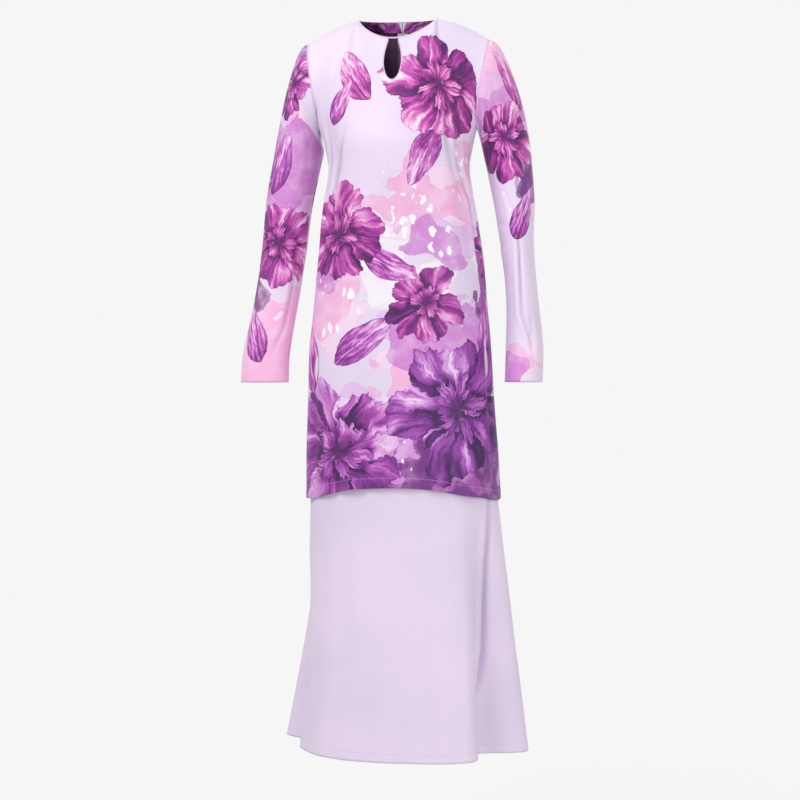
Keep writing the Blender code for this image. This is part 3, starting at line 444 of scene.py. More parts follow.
FACING_WASHES = (
    Wash("pink", 0.000, 0.000, 0.500, 0.500, 1.00),
    Wash("violet", 0.000, 0.000, 0.500, 0.500, 0.96),
)
BACK_WASHES = (
    Wash("pink", 0.000, -0.340, 0.070, 0.060, 0.64),
    Wash("pink", 0.070, -0.470, 0.100, 0.060, 0.70),
    Wash("pink", -0.150, -0.650, 0.080, 0.070, 0.72),
    Wash("orchid", 0.080, -0.620, 0.130, 0.060, 0.82),
    Wash("orchid", 0.000, -0.860, 0.300, 0.090, 0.86),
    Wash("violet", 0.000, -0.915, 0.400, 0.035, 0.88),
    Wash("violet", 0.140, -0.830, 0.110, 0.060, 0.86),
    Wash("violet", 0.000, -0.080, 0.130, 0.090, 1.40),
    Wash("pale", -0.040, -0.440, 0.100, 0.060, 0.72),
    Wash("fleck", 0.000, -0.480, 0.150, 0.100, 0.80),
)
LEFT_SLEEVE_WASHES = (
    Wash("pink", -0.020, -0.110, 0.150, 0.080, 1.00),
    Wash("orchid", -0.060, -0.170, 0.100, 0.060, 0.80),
    Wash("violet", -0.020, -0.290, 0.060, 0.060, 0.78),
    Wash("violet", 0.120, -0.200, 0.080, 0.080, 0.80),
    Wash("pink", -0.060, -0.665, 0.090, 0.035, 0.66),
    Wash("orchid", -0.095, -0.690, 0.040, 0.040, 0.80),
    Wash("pink", 0.120, -0.650, 0.100, 0.040, 0.70),
    Wash("fleck", -0.080, -0.340, 0.080, 0.050, 0.50),
)
RIGHT_SLEEVE_WASHES = (
    Wash("pink", 0.020, -0.330, 0.200, 0.120, 0.92),
    Wash("orchid", 0.060, -0.270, 0.130, 0.070, 0.98),
    Wash("fleck", 0.060, -0.340, 0.080, 0.060, 0.70),
    Wash("pink", 0.000, -0.635, 0.260, 0.095, 1.00),
    Wash("violet", 0.020, -0.520, 0.070, 0.060, 0.74),
    Wash("violet", 0.010, -0.300, 0.040, 0.090, 0.72),
    Wash("pale", 0.080, -0.200, 0.060, 0.030, 0.66),
    Wash("violet", 0.000, -0.060, 0.160, 0.050, 0.90),
)


def ease(value):
    """0 below 0, 1 above 1 and a soft step between."""
    value = np.clip(value, 0.0, 1.0)
    return value * value * (3.0 - 2.0 * value)


def hermite(start, start_slope, end, end_slope, t):
    """A cubic between two points or numbers with the slopes given."""
    t2 = t * t
    t3 = t2 * t
    return (start * (2 * t3 - 3 * t2 + 1) + start_slope * (t3 - 2 * t2 + t)
            + end * (3 * t2 - 2 * t3) + end_slope * (t3 - t2))


def unit(vectors):
    return vectors / np.maximum(np.linalg.norm(vectors, axis=-1, keepdims=True), 1e-9)


def joined(x, y, z):
    """Points from coordinates that may differ in shape."""
    return np.stack(np.broadcast_arrays(x, y, z), axis=-1)


def smooth_column(table, z, column):
    """One column of a table whose rows run downward in z, as a smooth curve through its rows."""
    heights = np.array([row.z for row in table])[::-1]
    values = np.array([getattr(row, column) for row in table])[::-1]
    slopes = np.empty_like(values)
    slopes[1:-1] = (values[2:] - values[:-2]) / (heights[2:] - heights[:-2])
    slopes[0] = (values[1] - values[0]) / (heights[1] - heights[0])
    slopes[-1] = (values[-1] - values[-2]) / (heights[-1] - heights[-2])
    z = np.clip(z, heights[0], heights[-1])
    i = np.clip(np.searchsorted(heights, z, side="right") - 1, 0, len(heights) - 2)
    span = heights[i + 1] - heights[i]
    t = (z - heights[i]) / span
    return hermite(values[i], slopes[i] * span, values[i + 1], slopes[i + 1] * span, t)


def turn_between(angle, centre):
    """The signed turn from one angle to another, in degrees from -180 to 180."""
    return (angle - centre + 180.0) % 360.0 - 180.0


def ring_point(table, angle, z, outward):
    """Points on a body section, moved outward from the section's middle."""
    half_width = smooth_column(table, z, "half_width") + outward
    front = smooth_column(table, z, "front_y") - outward
    back = smooth_column(table, z, "back_y") + outward
    phi = np.radians(angle)
    x = smooth_column(table, z, "centre_x") + half_width * np.sin(phi)
    y = (front + back) / 2 - (back - front) / 2 * np.cos(phi)
    return joined(x, y, z)


def drape_offset(angle, z):
    """How far the tunic's large troughs and ridges move its cloth outward."""
    total = np.zeros(np.broadcast(angle, z).shape)
    for drape in TUNIC_DRAPES:
        along = np.clip((drape.top - z) / (drape.top - drape.bottom), 0.0, 1.0)
        across = turn_between(angle, drape.angle) / drape.spread
        total = total + drape.outward * np.sin(pi * along) ** 2 * np.exp(-across * across)
    return total


def tunic_ring(angle, z):
    """The tunic's outer face at or below the underarm."""
    return ring_point(TUNIC_SECTIONS, angle, z, drape_offset(angle, z))


def tunic_hem_height(angle):
    """The hem's height: lower at the sides and the back, with small uneven dips."""
    side = np.sin(np.radians(angle)) ** 2
    back = (1.0 - np.cos(np.radians(angle))) / 2
    height = HEM_FRONT_HEIGHT - HEM_SIDE_DROP * side - HEM_BACK_DROP * back * (1.0 - side)
    for dip in HEM_DIPS:
        height = height - dip.depth * np.exp(-(turn_between(angle, dip.angle) / dip.spread) ** 2)
    return height


def armhole_point(side, turn, front):
    """Points of an armhole seam, from the shoulder tip (turn 0) to the underarm (turn pi)."""
    depth = np.where(front, -ARMHOLE_FRONT_DEPTH, ARMHOLE_BACK_DEPTH)
    middle = (SHOULDER_TIP[2] + UNDERARM_HEIGHT) / 2
    half = (SHOULDER_TIP[2] - UNDERARM_HEIGHT) / 2
    rise = (1.0 + np.cos(turn)) / 2
    x = UNDERARM_HALF_WIDTH + (SHOULDER_TIP[0] - UNDERARM_HALF_WIDTH) * rise ** ARMHOLE_X_POWER
    underarm_y = (TUNIC_SECTIONS[0].front_y + TUNIC_SECTIONS[0].back_y) / 2
    y = underarm_y + (SHOULDER_TIP[1] - underarm_y) * rise
    return joined(side * x, y + depth * np.sin(turn), middle + half * np.cos(turn))


def top_edge(share, front):
    """The neck and shoulder edge of a panel; share runs from -1 to 1 across the shoulders."""
    side = np.where(share > 0, 1.0, -1.0)
    reach = np.abs(share)
    beta = np.minimum(reach / NECK_SHARE, 1.0) * pi / 2
    centre = NECK_FRONT if front else NECK_BACK
    lift = np.maximum(np.cos(beta), 0.0)
    neck = joined(side * NECK_HALF_WIDTH * np.sin(beta), centre[1] * lift,
                  centre[2] * lift ** (NECK_FRONT_CURVE if front else 1.0))
    along = np.clip((reach - NECK_SHARE) / (1.0 - NECK_SHARE), 0.0, 1.0)
    x = NECK_HALF_WIDTH + (SHOULDER_TIP[0] - NECK_HALF_WIDTH) * along
    crown = SHOULDER_CROWN * np.sin(pi * along)
    shoulder = joined(side * x, SHOULDER_TIP[1] * along, SHOULDER_TIP[2] * along + crown)
    return np.where((reach <= NECK_SHARE)[..., None], neck, shoulder)


def panel_angle(share, front):
    """Where a share of a panel's width lies round the body, in degrees from the front's middle."""
    return 90.0 * share if front else 180.0 - 90.0 * share


def yoke_lines(share, t, front, angle, arrive):
    """Curves up from the section at the underarm to the top edge, one for each share."""
    start = tunic_ring(angle, np.full_like(angle, UNDERARM_HEIGHT))
    rise = unit(start - tunic_ring(angle, np.full_like(angle, UNDERARM_HEIGHT - NORMAL_STEP)))
    end = top_edge(share, front)
    chord = np.linalg.norm(end - start, axis=-1, keepdims=True)
    along = (1.0 - (1.0 - t) ** YOKE_CROWDING)[..., None]
    return hermite(start, rise * chord, end, arrive * chord, along)


def yoke_grid(share, t, front):
    """A panel above the underarm: up from the section there (t 0) to the top edge (t 1)."""
    outward = -1.0 if front else 1.0
    over_shoulder = ease(np.abs(share) / NECK_SHARE)[..., None]
    arrive_up = np.array((0.0, -outward * YOKE_ARRIVAL[0], YOKE_ARRIVAL[1]))
    arrive_flat = np.array((0.0, -outward, SHOULDER_ARRIVAL))
    arrive = unit(arrive_up + (arrive_flat - arrive_up) * over_shoulder)
    side = np.where(share > 0, 1.0, -1.0)
    points = yoke_lines(share, t, front, panel_angle(share, front), arrive)
    free_edge = yoke_lines(side, t, front, panel_angle(side, front), unit(arrive_flat))
    seam = armhole_point(side, pi * (1.0 - t), front)
    return points + (seam - free_edge) * (np.abs(share) ** YOKE_SEAM_PULL)[..., None]


def lower_grid(share, level, front):
    """A panel below the underarm, from its hem (level 0) to the underarm (level 1)."""
    angle = panel_angle(share, front)
    fixed = [np.full_like(angle, z) for z in (*TUNIC_ROWS, UNDERARM_HEIGHT)]
    heights = np.stack([tunic_hem_height(angle), *fixed])
    place = level * (len(heights) - 1)
    i = np.minimum(place.astype(int), len(heights) - 2)[:, 0]
    z = heights[i] + (heights[i + 1] - heights[i]) * (place - i[:, None])
    slit = np.where(z < SLIT_TOP, ease((SLIT_TOP - z) / (SLIT_TOP - heights[0])), 0.0)
    pull_in = (SLIT_FRONT_ANGLE if front else -SLIT_BACK_ANGLE) * slit
    return tunic_ring(angle - pull_in * share, z)


def tunic_grid(share, level, front):
    """A panel's outer face. Level 0 is the hem, 1 the underarm and 2 the top edge."""
    share = np.asarray(share, float)
    level = np.asarray(level, float)
    low = level[level < 1.0][:, None]
    high = level[level >= 1.0][:, None] - 1.0
    parts = []
    if len(low):
        parts.append(lower_grid(share, low, front))
    if len(high):
        parts.append(yoke_grid(share[None, :], high, front))
    return np.concatenate(parts)


def girth_depth(half_width, girth):
    """The half depth of an oval of a given length round and half width."""
    return np.sqrt(2.0 * (girth / (2.0 * pi)) ** 2 - half_width * half_width)


def sleeve_ring(stations, side, turn, z):
    """Points of the sleeve's tube; turn 0 is the outer side, pi / 2 the front."""
    half_width = smooth_column(stations, z, "half_width")
    half_depth = girth_depth(half_width, smooth_column(stations, z, "girth"))
    x = smooth_column(stations, z, "centre_x") + side * half_width * np.cos(turn)
    return joined(x, smooth_column(stations, z, "centre_y") - half_depth * np.sin(turn), z)


def sleeve_head(stations, side, turn, t):
    """The sleeve between the armhole seam (t 0) and its first station (t 1)."""
    turn = turn % (2.0 * pi)
    front = turn <= pi
    down_turn = np.where(front, turn, 2.0 * pi - turn)
    start = armhole_point(side, down_turn, front)
    low = ((1.0 - np.cos(down_turn)) / 2)[..., None]
    out = (CAP_TOP_WAY * (1.0 - low) + CAP_LOW_WAY * low) * (side, 1.0, 1.0)
    out[..., 1] = -CAP_FULLNESS * np.sin(turn)
    out = unit(out)
    length = CAP_OUT_LENGTH + (UNDERARM_OUT_LENGTH - CAP_OUT_LENGTH) * low
    first = stations[0].z
    end = sleeve_ring(stations, side, turn, np.full_like(turn, first))
    below = sleeve_ring(stations, side, turn, np.full_like(turn, first - CAP_SLOPE_STEP))
    end_slope = unit(below - end)
    down = CAP_DOWN_LENGTH + (UNDERARM_OUT_LENGTH - CAP_DOWN_LENGTH) * low
    return hermite(start, out * length, end, end_slope * down, t[..., None])


def flute_offset(angle, z):
    """How far the skirt's flutes move its cloth outward."""
    angle = angle % 360.0
    starts = np.array([flute.starts for flute in SKIRT_FLUTES])
    outward = np.array([flute.outward for flute in SKIRT_FLUTES])
    places = np.array([flute.angle for flute in SKIRT_FLUTES] + [360.0 + SKIRT_FLUTES[0].angle])
    count = len(SKIRT_FLUTES)
    here = np.clip(np.searchsorted(places, angle, side="right") - 1, 0, count - 1)
    after = (here + 1) % count
    mix = (1.0 - np.cos(pi * (angle - places[here]) / (places[here + 1] - places[here]))) / 2

    def grown(k):
        share = np.clip((starts[k] - z) / (starts[k] - SKIRT_HEM), 0.0, 1.0)
        return outward[k] * share ** FLUTE_GROWTH

    return grown(here) + (grown(after) - grown(here)) * mix


def skirt_grid(angle, z):
    """The skirt's outer face, seated under the tunic's at the hip."""
    hip = np.maximum(1.0 - np.abs(z - HIP_HEIGHT) / HIP_REACH, 0.0)
    return ring_point(SKIRT_SECTIONS, angle, z, flute_offset(angle, z) - HIP_SEAT * hip)


def arc_from(points, axis, start):
    """Lengths along a grid's rows or columns, 0 at the start index."""
    edges = np.linalg.norm(np.diff(points, axis=axis), axis=-1)
    zero = np.zeros_like(np.take(edges, [0], axis=axis))
    lengths = np.concatenate([zero, np.cumsum(edges, axis=axis)], axis=axis)
    return lengths - np.take(lengths, [start], axis=axis)


def flat_cut(points, centre_column, level_row, level_height):
    """Each point's place on the flat cloth: across from a column and up from a row."""
    across = arc_from(points, 1, centre_column)
    up = arc_from(points, 0, level_row) + level_height
    return np.stack([across, up], axis=-1)


def grid_normals(points):
    """The ways out from a grid whose rows run up and whose points run to the left of its face."""
    right = np.gradient(points, axis=1)
    up = np.gradient(points, axis=0)
    return unit(np.cross(right, up))


# A dressed cloth's outer face, the ways out from it and each point's place on the flat cut
Cloth = namedtuple("Cloth", "outer normals cut points share level")


def crease_height(cut, creases):
    """How far creases move each point of a cut outward: a soft line with a lower rise beside it."""
    u = cut[..., 0]
    v = cut[..., 1]
    total = np.zeros_like(u)
    for crease in creases:
        path = np.array(crease.path)
        edges = np.diff(path, axis=0)
        lengths = np.linalg.norm(edges, axis=1)
        whole = lengths.sum()
        nearest = np.full_like(u, FAR)
        sided = np.zeros_like(u)
        along = np.zeros_like(u)
        for k, (start, edge, length) in enumerate(zip(path[:-1], edges, lengths)):
            way_u = u - start[0]
            way_v = v - start[1]
            t = np.clip((way_u * edge[0] + way_v * edge[1]) / length ** 2, 0.0, 1.0)
            distance = np.hypot(way_u - t * edge[0], way_v - t * edge[1])
            closer = distance < nearest
            turn = np.where(way_u * edge[1] - way_v * edge[0] > 0, 1.0, -1.0)
            nearest = np.where(closer, distance, nearest)
            sided = np.where(closer, distance * turn, sided)
            along = np.where(closer, (lengths[:k].sum() + t * length) / whole, along)
        taper = np.sin(pi * np.clip(along, 0.0, 1.0)) ** CREASE_TAPER
        line = np.exp(-(sided / crease.width) ** 2)
        beside = np.exp(-((sided - BESIDE_PLACE * crease.width) / (BESIDE_WIDTH * crease.width)) ** 2)
        total += crease.depth * taper * (line - BESIDE_RISE * beside)
    return total


def fold_shade(flat, creases):
    """How deep each point lies in a sharp trough, from 0 to 1: how much painted shade its colour gets
    there.
    """
    shade = np.zeros(len(flat))
    for crease in creases:
        steep = ease((-crease.depth / crease.width - FOLD_STEEP[0]) / (FOLD_STEEP[1] - FOLD_STEEP[0]))
        sunk = np.maximum(crease_height(flat, (crease,)) / crease.depth, 0.0)
        shade = np.maximum(shade, steep * sunk ** 2)
    return shade


def soft_waves(cut, seed, amount):
    """Slow uneven waves, a few centimetres across, that keep cloth from looking moulded."""
    u = cut[..., 0]
    v = cut[..., 1]
    total = np.zeros_like(u)
    for k, (pace_u, pace_v) in enumerate(SLOW_WAVES):
        turn = seed * WAVE_SEED_TURN + k * WAVE_STEP_TURN
        across = pace_u * u + WAVE_SWAY * np.sin(WAVE_SWAY_PACE * v + turn)
        total += np.sin(across + turn) * np.sin(pace_v * v + 2.0 * turn) / (1.0 + k)
    return amount * total


def seam_dip(cut):
    """How far cloth sinks at its two side seams."""
    u = cut[..., 0]
    left = (u - u[:, :1]) / SEAM_REACH
    right = (u[:, -1:] - u) / SEAM_REACH
    return -SEAM_DIP * (np.exp(-left ** 2) + np.exp(-right ** 2))


def hem_thickness(above_hem, depth):
    """The cloth's thickness: more where the hem is turned up."""
    return CLOTH + HEM_FOLD * (1.0 - ease((above_hem - depth) / HEM_STEP + 0.5))


def keyhole_half_width(t):
    """The keyhole's half width from its top (t 0) to its bottom (t 1)."""
    top = KEYHOLE_TOP_WIDTH / 2
    widest = KEYHOLE_WIDTH / 2
    upper = top + (widest - top) * np.sin(pi / 2 * np.minimum(t / KEYHOLE_WIDEST, 1.0))
    low = np.clip((t - KEYHOLE_WIDEST) / (1.0 - KEYHOLE_WIDEST), 0.0, 1.0)
    return np.where(t < KEYHOLE_WIDEST, upper, widest * np.sqrt(1.0 - low * low))


def keyhole_outline(grown, steps):
    """Points (x, z) down the keyhole's left edge, round its bottom and up its right edge."""
    t = np.sin(pi / 2 * np.arange(steps + 1) / steps)
    left = np.stack([-keyhole_half_width(t), NECK_FRONT[2] - t * KEYHOLE_DEPTH], axis=-1)
    right = left[-2::-1] * (-1.0, 1.0)
    outline = np.concatenate([left, right])
    along = unit(np.gradient(outline, axis=0))
    return outline + np.stack([along[:, 1], -along[:, 0]], axis=-1) * grown


def cut_keyhole(points, normals, outline):
    """Which faces of the front stay, and its points with the keyhole's edge drawn to its outline."""
    open_top = NECK_FRONT[2] + KEYHOLE_OPEN_TOP
    ring = np.concatenate([[(outline[0][0], open_top)], outline, [(outline[-1][0], open_top)]])
    x = points[..., 0]
    z = points[..., 2]
    near = (np.abs(x) < KEYHOLE_REACH_X) & (z > NECK_FRONT[2] - KEYHOLE_REACH_DOWN)
    near &= points[..., 1] < KEYHOLE_REACH_Y
    place = np.stack([x[near], z[near]], axis=-1)
    inside = np.zeros(len(place), bool)
    nearest = np.full(len(place), FAR)
    foot = np.zeros_like(place)
    for start, end in zip(ring, np.roll(ring, -1, axis=0)):
        edge = end - start
        way = place - start
        crosses = (start[1] > place[:, 1]) != (end[1] > place[:, 1])
        run = np.divide(place[:, 1] - start[1], edge[1], out=np.zeros(len(place)), where=crosses)
        inside ^= crosses & (place[:, 0] < start[0] + run * edge[0])
        t = np.clip((way @ edge) / (edge @ edge), 0.0, 1.0)
        distance = np.linalg.norm(way - t[:, None] * edge, axis=1)
        closer = distance < nearest
        nearest = np.where(closer, distance, nearest)
        foot[closer] = (start + t[:, None] * edge)[closer]
    within = np.zeros(x.shape, bool)
    within[near] = inside
    corners = within[:-1, :-1] & within[1:, :-1] & within[:-1, 1:] & within[1:, 1:]
    move = np.zeros(x.shape + (2,))
    move[near] = np.where(inside[:, None], foot - place, 0.0)
    slope = (normals[..., 0] * move[..., 0] + normals[..., 2] * move[..., 1]) / normals[..., 1]
    moved = points + np.stack([move[..., 0], -slope, move[..., 1]], axis=-1)
    return ~corners, moved


def shell_faces(rows, columns, keep):
    """Corner numbers of a shell's outer faces, its inner faces and its rim."""
    index = np.arange(rows * columns).reshape(rows, columns)
    quads = np.stack([index[:-1, :-1], index[:-1, 1:], index[1:, 1:], index[1:, :-1]], axis=-1)
    quads = quads[keep] if keep is not None else quads.reshape(-1, 4)
    starts = quads.reshape(-1)
    ends = np.roll(quads, -1, axis=1).reshape(-1)
    count = rows * columns
    alone = ~np.isin(starts * count + ends, ends * count + starts)
    first = starts[alone]
    second = ends[alone]
    rim = np.stack([second, first, first + count, second + count], axis=-1)
    return quads, quads[:, ::-1] + count, rim


def set_attribute(mesh, name, values):
    """Keeps three numbers at each point of a mesh, for the materials."""
    layer = mesh.attributes.new(name, "FLOAT_VECTOR", "POINT")
    layer.data.foreach_set("vector", np.ascontiguousarray(values, np.float32).reshape(-1))


def quad_mesh(name, points, faces):
    """A mesh of four-cornered faces."""
    mesh = bpy.data.meshes.new(name)
    mesh.vertices.add(len(points))
    mesh.vertices.foreach_set("co", points.astype(np.float32).reshape(-1))
    mesh.loops.add(faces.size)
    mesh.loops.foreach_set("vertex_index", faces.astype(np.int32).reshape(-1))
    mesh.polygons.add(len(faces))
    mesh.polygons.foreach_set("loop_start", np.arange(0, faces.size, 4, dtype=np.int32))
    mesh.update(calc_edges=True)
    mesh.shade_smooth()
    return mesh


def shell_mesh(name, outer, inner, cut, patch, keep=None):
    """A closed thin mesh between two grids, with the flat cloth's place kept at each point."""
    rows, columns = outer.shape[:2]
    outside, inside, rim = shell_faces(rows, columns, keep)
    faces = np.concatenate([outside, inside, rim])
    points = np.concatenate([outer.reshape(-1, 3), inner.reshape(-1, 3)])
    used = np.unique(faces)
    renumber = np.full(len(points), -1)
    renumber[used] = np.arange(len(used))
    faces = renumber[faces]
    points = points[used]
    flat = np.concatenate([cut.reshape(-1, 2)] * 2)[used]
    mesh = quad_mesh(name, points, faces)
    material = np.zeros(len(faces), np.int32)
    material[len(outside):len(outside) + len(inside)] = 1
    mesh.polygons.foreach_set("material_index", material)
    span = np.ptp(flat, axis=0).max() * BAKE_SPARE
    place = (flat - flat.min(axis=0)) / span * (1.0 - 2.0 * BAKE_EDGE) + BAKE_EDGE
    halves = np.where(material[:, None] == 1, 0.5, 0.0)
    uv = place[faces]
    uv[..., 0] = uv[..., 0] * 0.5 + halves
    layer = mesh.uv_layers.new(name="OFBake")
    layer.data.foreach_set("uv", uv.astype(np.float32).reshape(-1))
    set_attribute(mesh, "cut", np.concatenate([flat, np.full((len(flat), 1), patch)], axis=1))
    return mesh, flat


def tube_batch(paths, normals, section, closed=False, sides=8):
    """Points and faces of tubes of one length along many paths; a section is its half height and width."""
    high, wide = section
    if closed:
        along = np.roll(paths, -1, axis=1) - np.roll(paths, 1, axis=1)
    else:
        along = np.gradient(paths, axis=1)
    along = unit(along)
    across = unit(np.cross(along, normals))
    up = np.cross(across, along)
    turn = np.arange(sides) * 2.0 * pi / sides
    narrow = np.ones(paths.shape[1])
    if not closed:
        narrow[[0, -1]] = TUBE_END
    lift = (up * high * narrow[:, None])[:, :, None] * np.sin(turn)[:, None]
    sideways = (across * wide * narrow[:, None])[:, :, None] * np.cos(turn)[:, None]
    points = paths[:, :, None] + lift + sideways
    index = np.arange(points[..., 0].size).reshape(points.shape[:3])
    after = np.roll(index, -1, axis=1) if closed else index[:, 1:]
    here = index if closed else index[:, :-1]
    quads = np.stack([here, after, np.roll(after, -1, axis=2), np.roll(here, -1, axis=2)], axis=-1)
    faces = [quads.reshape(-1, 4)]
    if not closed:
        for k in range(sides // 2 - 1):
            corners = (k, k + 1, sides - 2 - k, sides - 1 - k)
            faces.append(index[:, 0][:, corners])
            faces.append(index[:, -1][:, corners[::-1]])
    return points.reshape(-1, 3), np.concatenate(faces)


def joined_mesh(name, parts):
    """One mesh from the points and faces of several."""
    points = np.concatenate([part[0] for part in parts])
    starts = np.cumsum([0] + [len(part[0]) for part in parts[:-1]])
    faces = np.concatenate([part[1] + start for part, start in zip(parts, starts)])
    return quad_mesh(name, points, faces)


def places_along(line, step, length):
    """Places spread evenly along a line, each as a start, a middle and an end."""
    lengths = np.concatenate([[0.0], np.cumsum(np.linalg.norm(np.diff(line, axis=0), axis=1))])
    starts = np.arange(step / 2, lengths[-1] - length, step)
    return np.stack([starts, starts + length / 2, starts + length], axis=-1), lengths


def along_line(places, lengths, line):
    """Points or ways of a line at given lengths along it."""
    return np.stack([np.interp(places, lengths, line[:, k]) for k in range(3)], axis=-1)


def stitch_row(line, normals):
    """Points and faces of a row of stitches that dip into the cloth at their ends."""
    places, lengths = places_along(line, STITCH_PITCH, STITCH_LENGTH)
    ways = unit(along_line(places, lengths, normals))
    paths = along_line(places, lengths, line) + ways * np.array(STITCH_LIFTS)[:, None]
    return tube_batch(paths, ways, STITCH, sides=6)


def across_line(cloth, above):
    """A line over a cloth at one height above its hem, and the ways out from it."""
    heights = cloth.cut[..., 1] - cloth.cut[:1, :, 1]
    columns = range(heights.shape[1])
    points = [along_line(above, heights[:, j], cloth.outer[:, j]) for j in columns]
    ways = [along_line(above, heights[:, j], cloth.normals[:, j]) for j in columns]
    return np.array(points), unit(np.array(ways))


def upright_line(cloth, column, reach):
    """A line up a cloth at one distance from a side edge: column 0, or -1 for the last."""
    order = slice(None) if column == 0 else slice(None, None, -1)
    reaches = np.abs(cloth.cut[..., 0] - cloth.cut[:, [column], 0])[:, order]
    rows = range(len(reaches))
    points = [along_line(reach, reaches[i], cloth.outer[i, order]) for i in rows]
    ways = [along_line(reach, reaches[i], cloth.normals[i, order]) for i in rows]
    return np.array(points), unit(np.array(ways))


def placed(name, data, place=(0.0, 0.0, 0.0), turn=(0.0, 0.0, 0.0)):
    """A new object in the scene."""
    item = bpy.data.objects.new(name, data)
    item.location = place
    item.rotation_euler = turn
    bpy.context.scene.collection.objects.link(item)
    return item


def show(name, mesh, materials, node=None):
    """A piece on the garment's body, in place of a solid where a node is given."""
    piece = placed(name, mesh)
    for material in materials:
        piece.data.materials.append(material)
    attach(piece, "garment")
    if node:
        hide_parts(node)


def paint_print(mesh, flat, motifs, washes):
    """Keeps the print's layout on a mesh: each motif's own frame and how strong each wash is."""
    for layer in MOTIF_LAYERS:
        place = np.full((len(flat), 3), FAR)
        look = np.zeros((len(flat), 3))
        nearest = np.full(len(flat), FAR)
        for seed, motif in enumerate(motifs):
            if motif.layer != layer:
                continue
            way = (flat - (motif.u, motif.v)) / motif.radius
            turn = radians(motif.turn)
            x = way[:, 0] * cos(turn) + way[:, 1] * sin(turn)
            y = way[:, 1] * cos(turn) - way[:, 0] * sin(turn)
            distance = np.hypot(x, y)
            closer = distance < nearest
            nearest = np.where(closer, distance, nearest)
            place[closer] = np.stack([x, y, np.full_like(x, MOTIF_SEED_STEP * seed)], axis=-1)[closer]
            look[closer, 1] = motif.tone
        look[:, 0] = 1.0 - ease((nearest - MOTIF_SOLID) / (MOTIF_REACH - MOTIF_SOLID))
        set_attribute(mesh, layer, place)
        set_attribute(mesh, layer + "_look", look)
    strength = {kind: np.zeros(len(flat)) for kind in WASH_KINDS}
    for wash in washes:
        away_u = (flat[:, 0] - wash.u) / wash.spread_u
        away_v = (flat[:, 1] - wash.v) / wash.spread_v
        here = wash.strength * np.exp(-0.5 * (away_u ** 2 + away_v ** 2))
        strength[wash.kind] = np.maximum(strength[wash.kind], here)
    set_attribute(mesh, "wash_tint", np.stack([strength[k] for k in WASH_KINDS[:3]], axis=-1))
    other = [strength["pale"], strength["fleck"], np.zeros(len(flat))]
    set_attribute(mesh, "wash_light", np.stack(other, axis=-1))


# Materials

def linear(*colour):
    """A display colour out of 255 as the linear colour that a shader takes."""
    part = np.array(colour) / 255.0
    value = np.where(part <= 0.04045, part / 12.92, ((part + 0.055) / 1.055) ** 2.4)
    return (*(float(v) for v in value), 1.0)


LILAC = linear(231, 214, 238)
LILAC_COOL = linear(223, 210, 233)
PALE_PATCH = linear(241, 236, 243)
PALE_PINK = linear(244, 212, 234)
PINK = linear(240, 170, 214)
PALE_ORCHID = linear(224, 182, 228)
ORCHID = linear(204, 126, 206)
VIOLET = linear(158, 74, 164)
DEEP_VIOLET = linear(108, 48, 126)
PLUM = linear(78, 34, 88)
# Colour of the painted shade inside the upper back
INNER_SHADE_PLUM = linear(52, 22, 50)
POLLEN = linear(230, 176, 216)
FLECK = linear(247, 242, 249)
MAGENTA_STOPS = (
    (0.00, linear(251, 234, 246)),
    (0.22, linear(244, 184, 222)),
    (0.45, linear(214, 98, 186)),
    (0.70, linear(158, 48, 144)),
    (1.00, linear(84, 32, 94)),
)
VIOLET_STOPS = (
    (0.00, linear(236, 206, 240)),
    (0.22, linear(206, 140, 216)),
    (0.45, linear(164, 80, 182)),
    (0.70, linear(118, 50, 142)),
    (1.00, linear(62, 30, 84)),
)
PETALS = 5
LIGHT_SIDE = -0.26
# Painted shade laid into the colour of deep, sharp creases: its colour and its strength
PAINTED_FOLD_SHADE = linear(166, 146, 184)
PAINTED_FOLD_DARKNESS = 0.55
FACE_SHEEN = 0.10
REVERSE_SHEEN = 0.05
PLAIN_SHEEN = 0.12
CREPE_GRAIN_SCALE = 1500.0
CREPE_FINE_SCALE = 320.0
CREPE_RELIEF = (0.35, 0.00025)
WOVEN_RELIEF = (0.5, 0.0002)
THREAD_RELIEF = (0.4, 0.0001)
RIB_SCALE = 900.0
WEAVE_SCALE = 1400.0
TWIST_SCALE = 3800.0
BRUSH_SCALE = 5200.0
WEAR_SCALE = 420.0
SHOW_THROUGH = 0.16
# Heights over which the painted shade inside the upper back comes in
INNER_SHADE_HEIGHTS = (-0.34, -0.12)
# Heights over which the zip tape's painted shade comes in
TAPE_SHADE_HEIGHTS = (0.010, 0.045)
WASH_EDGE = 0.012


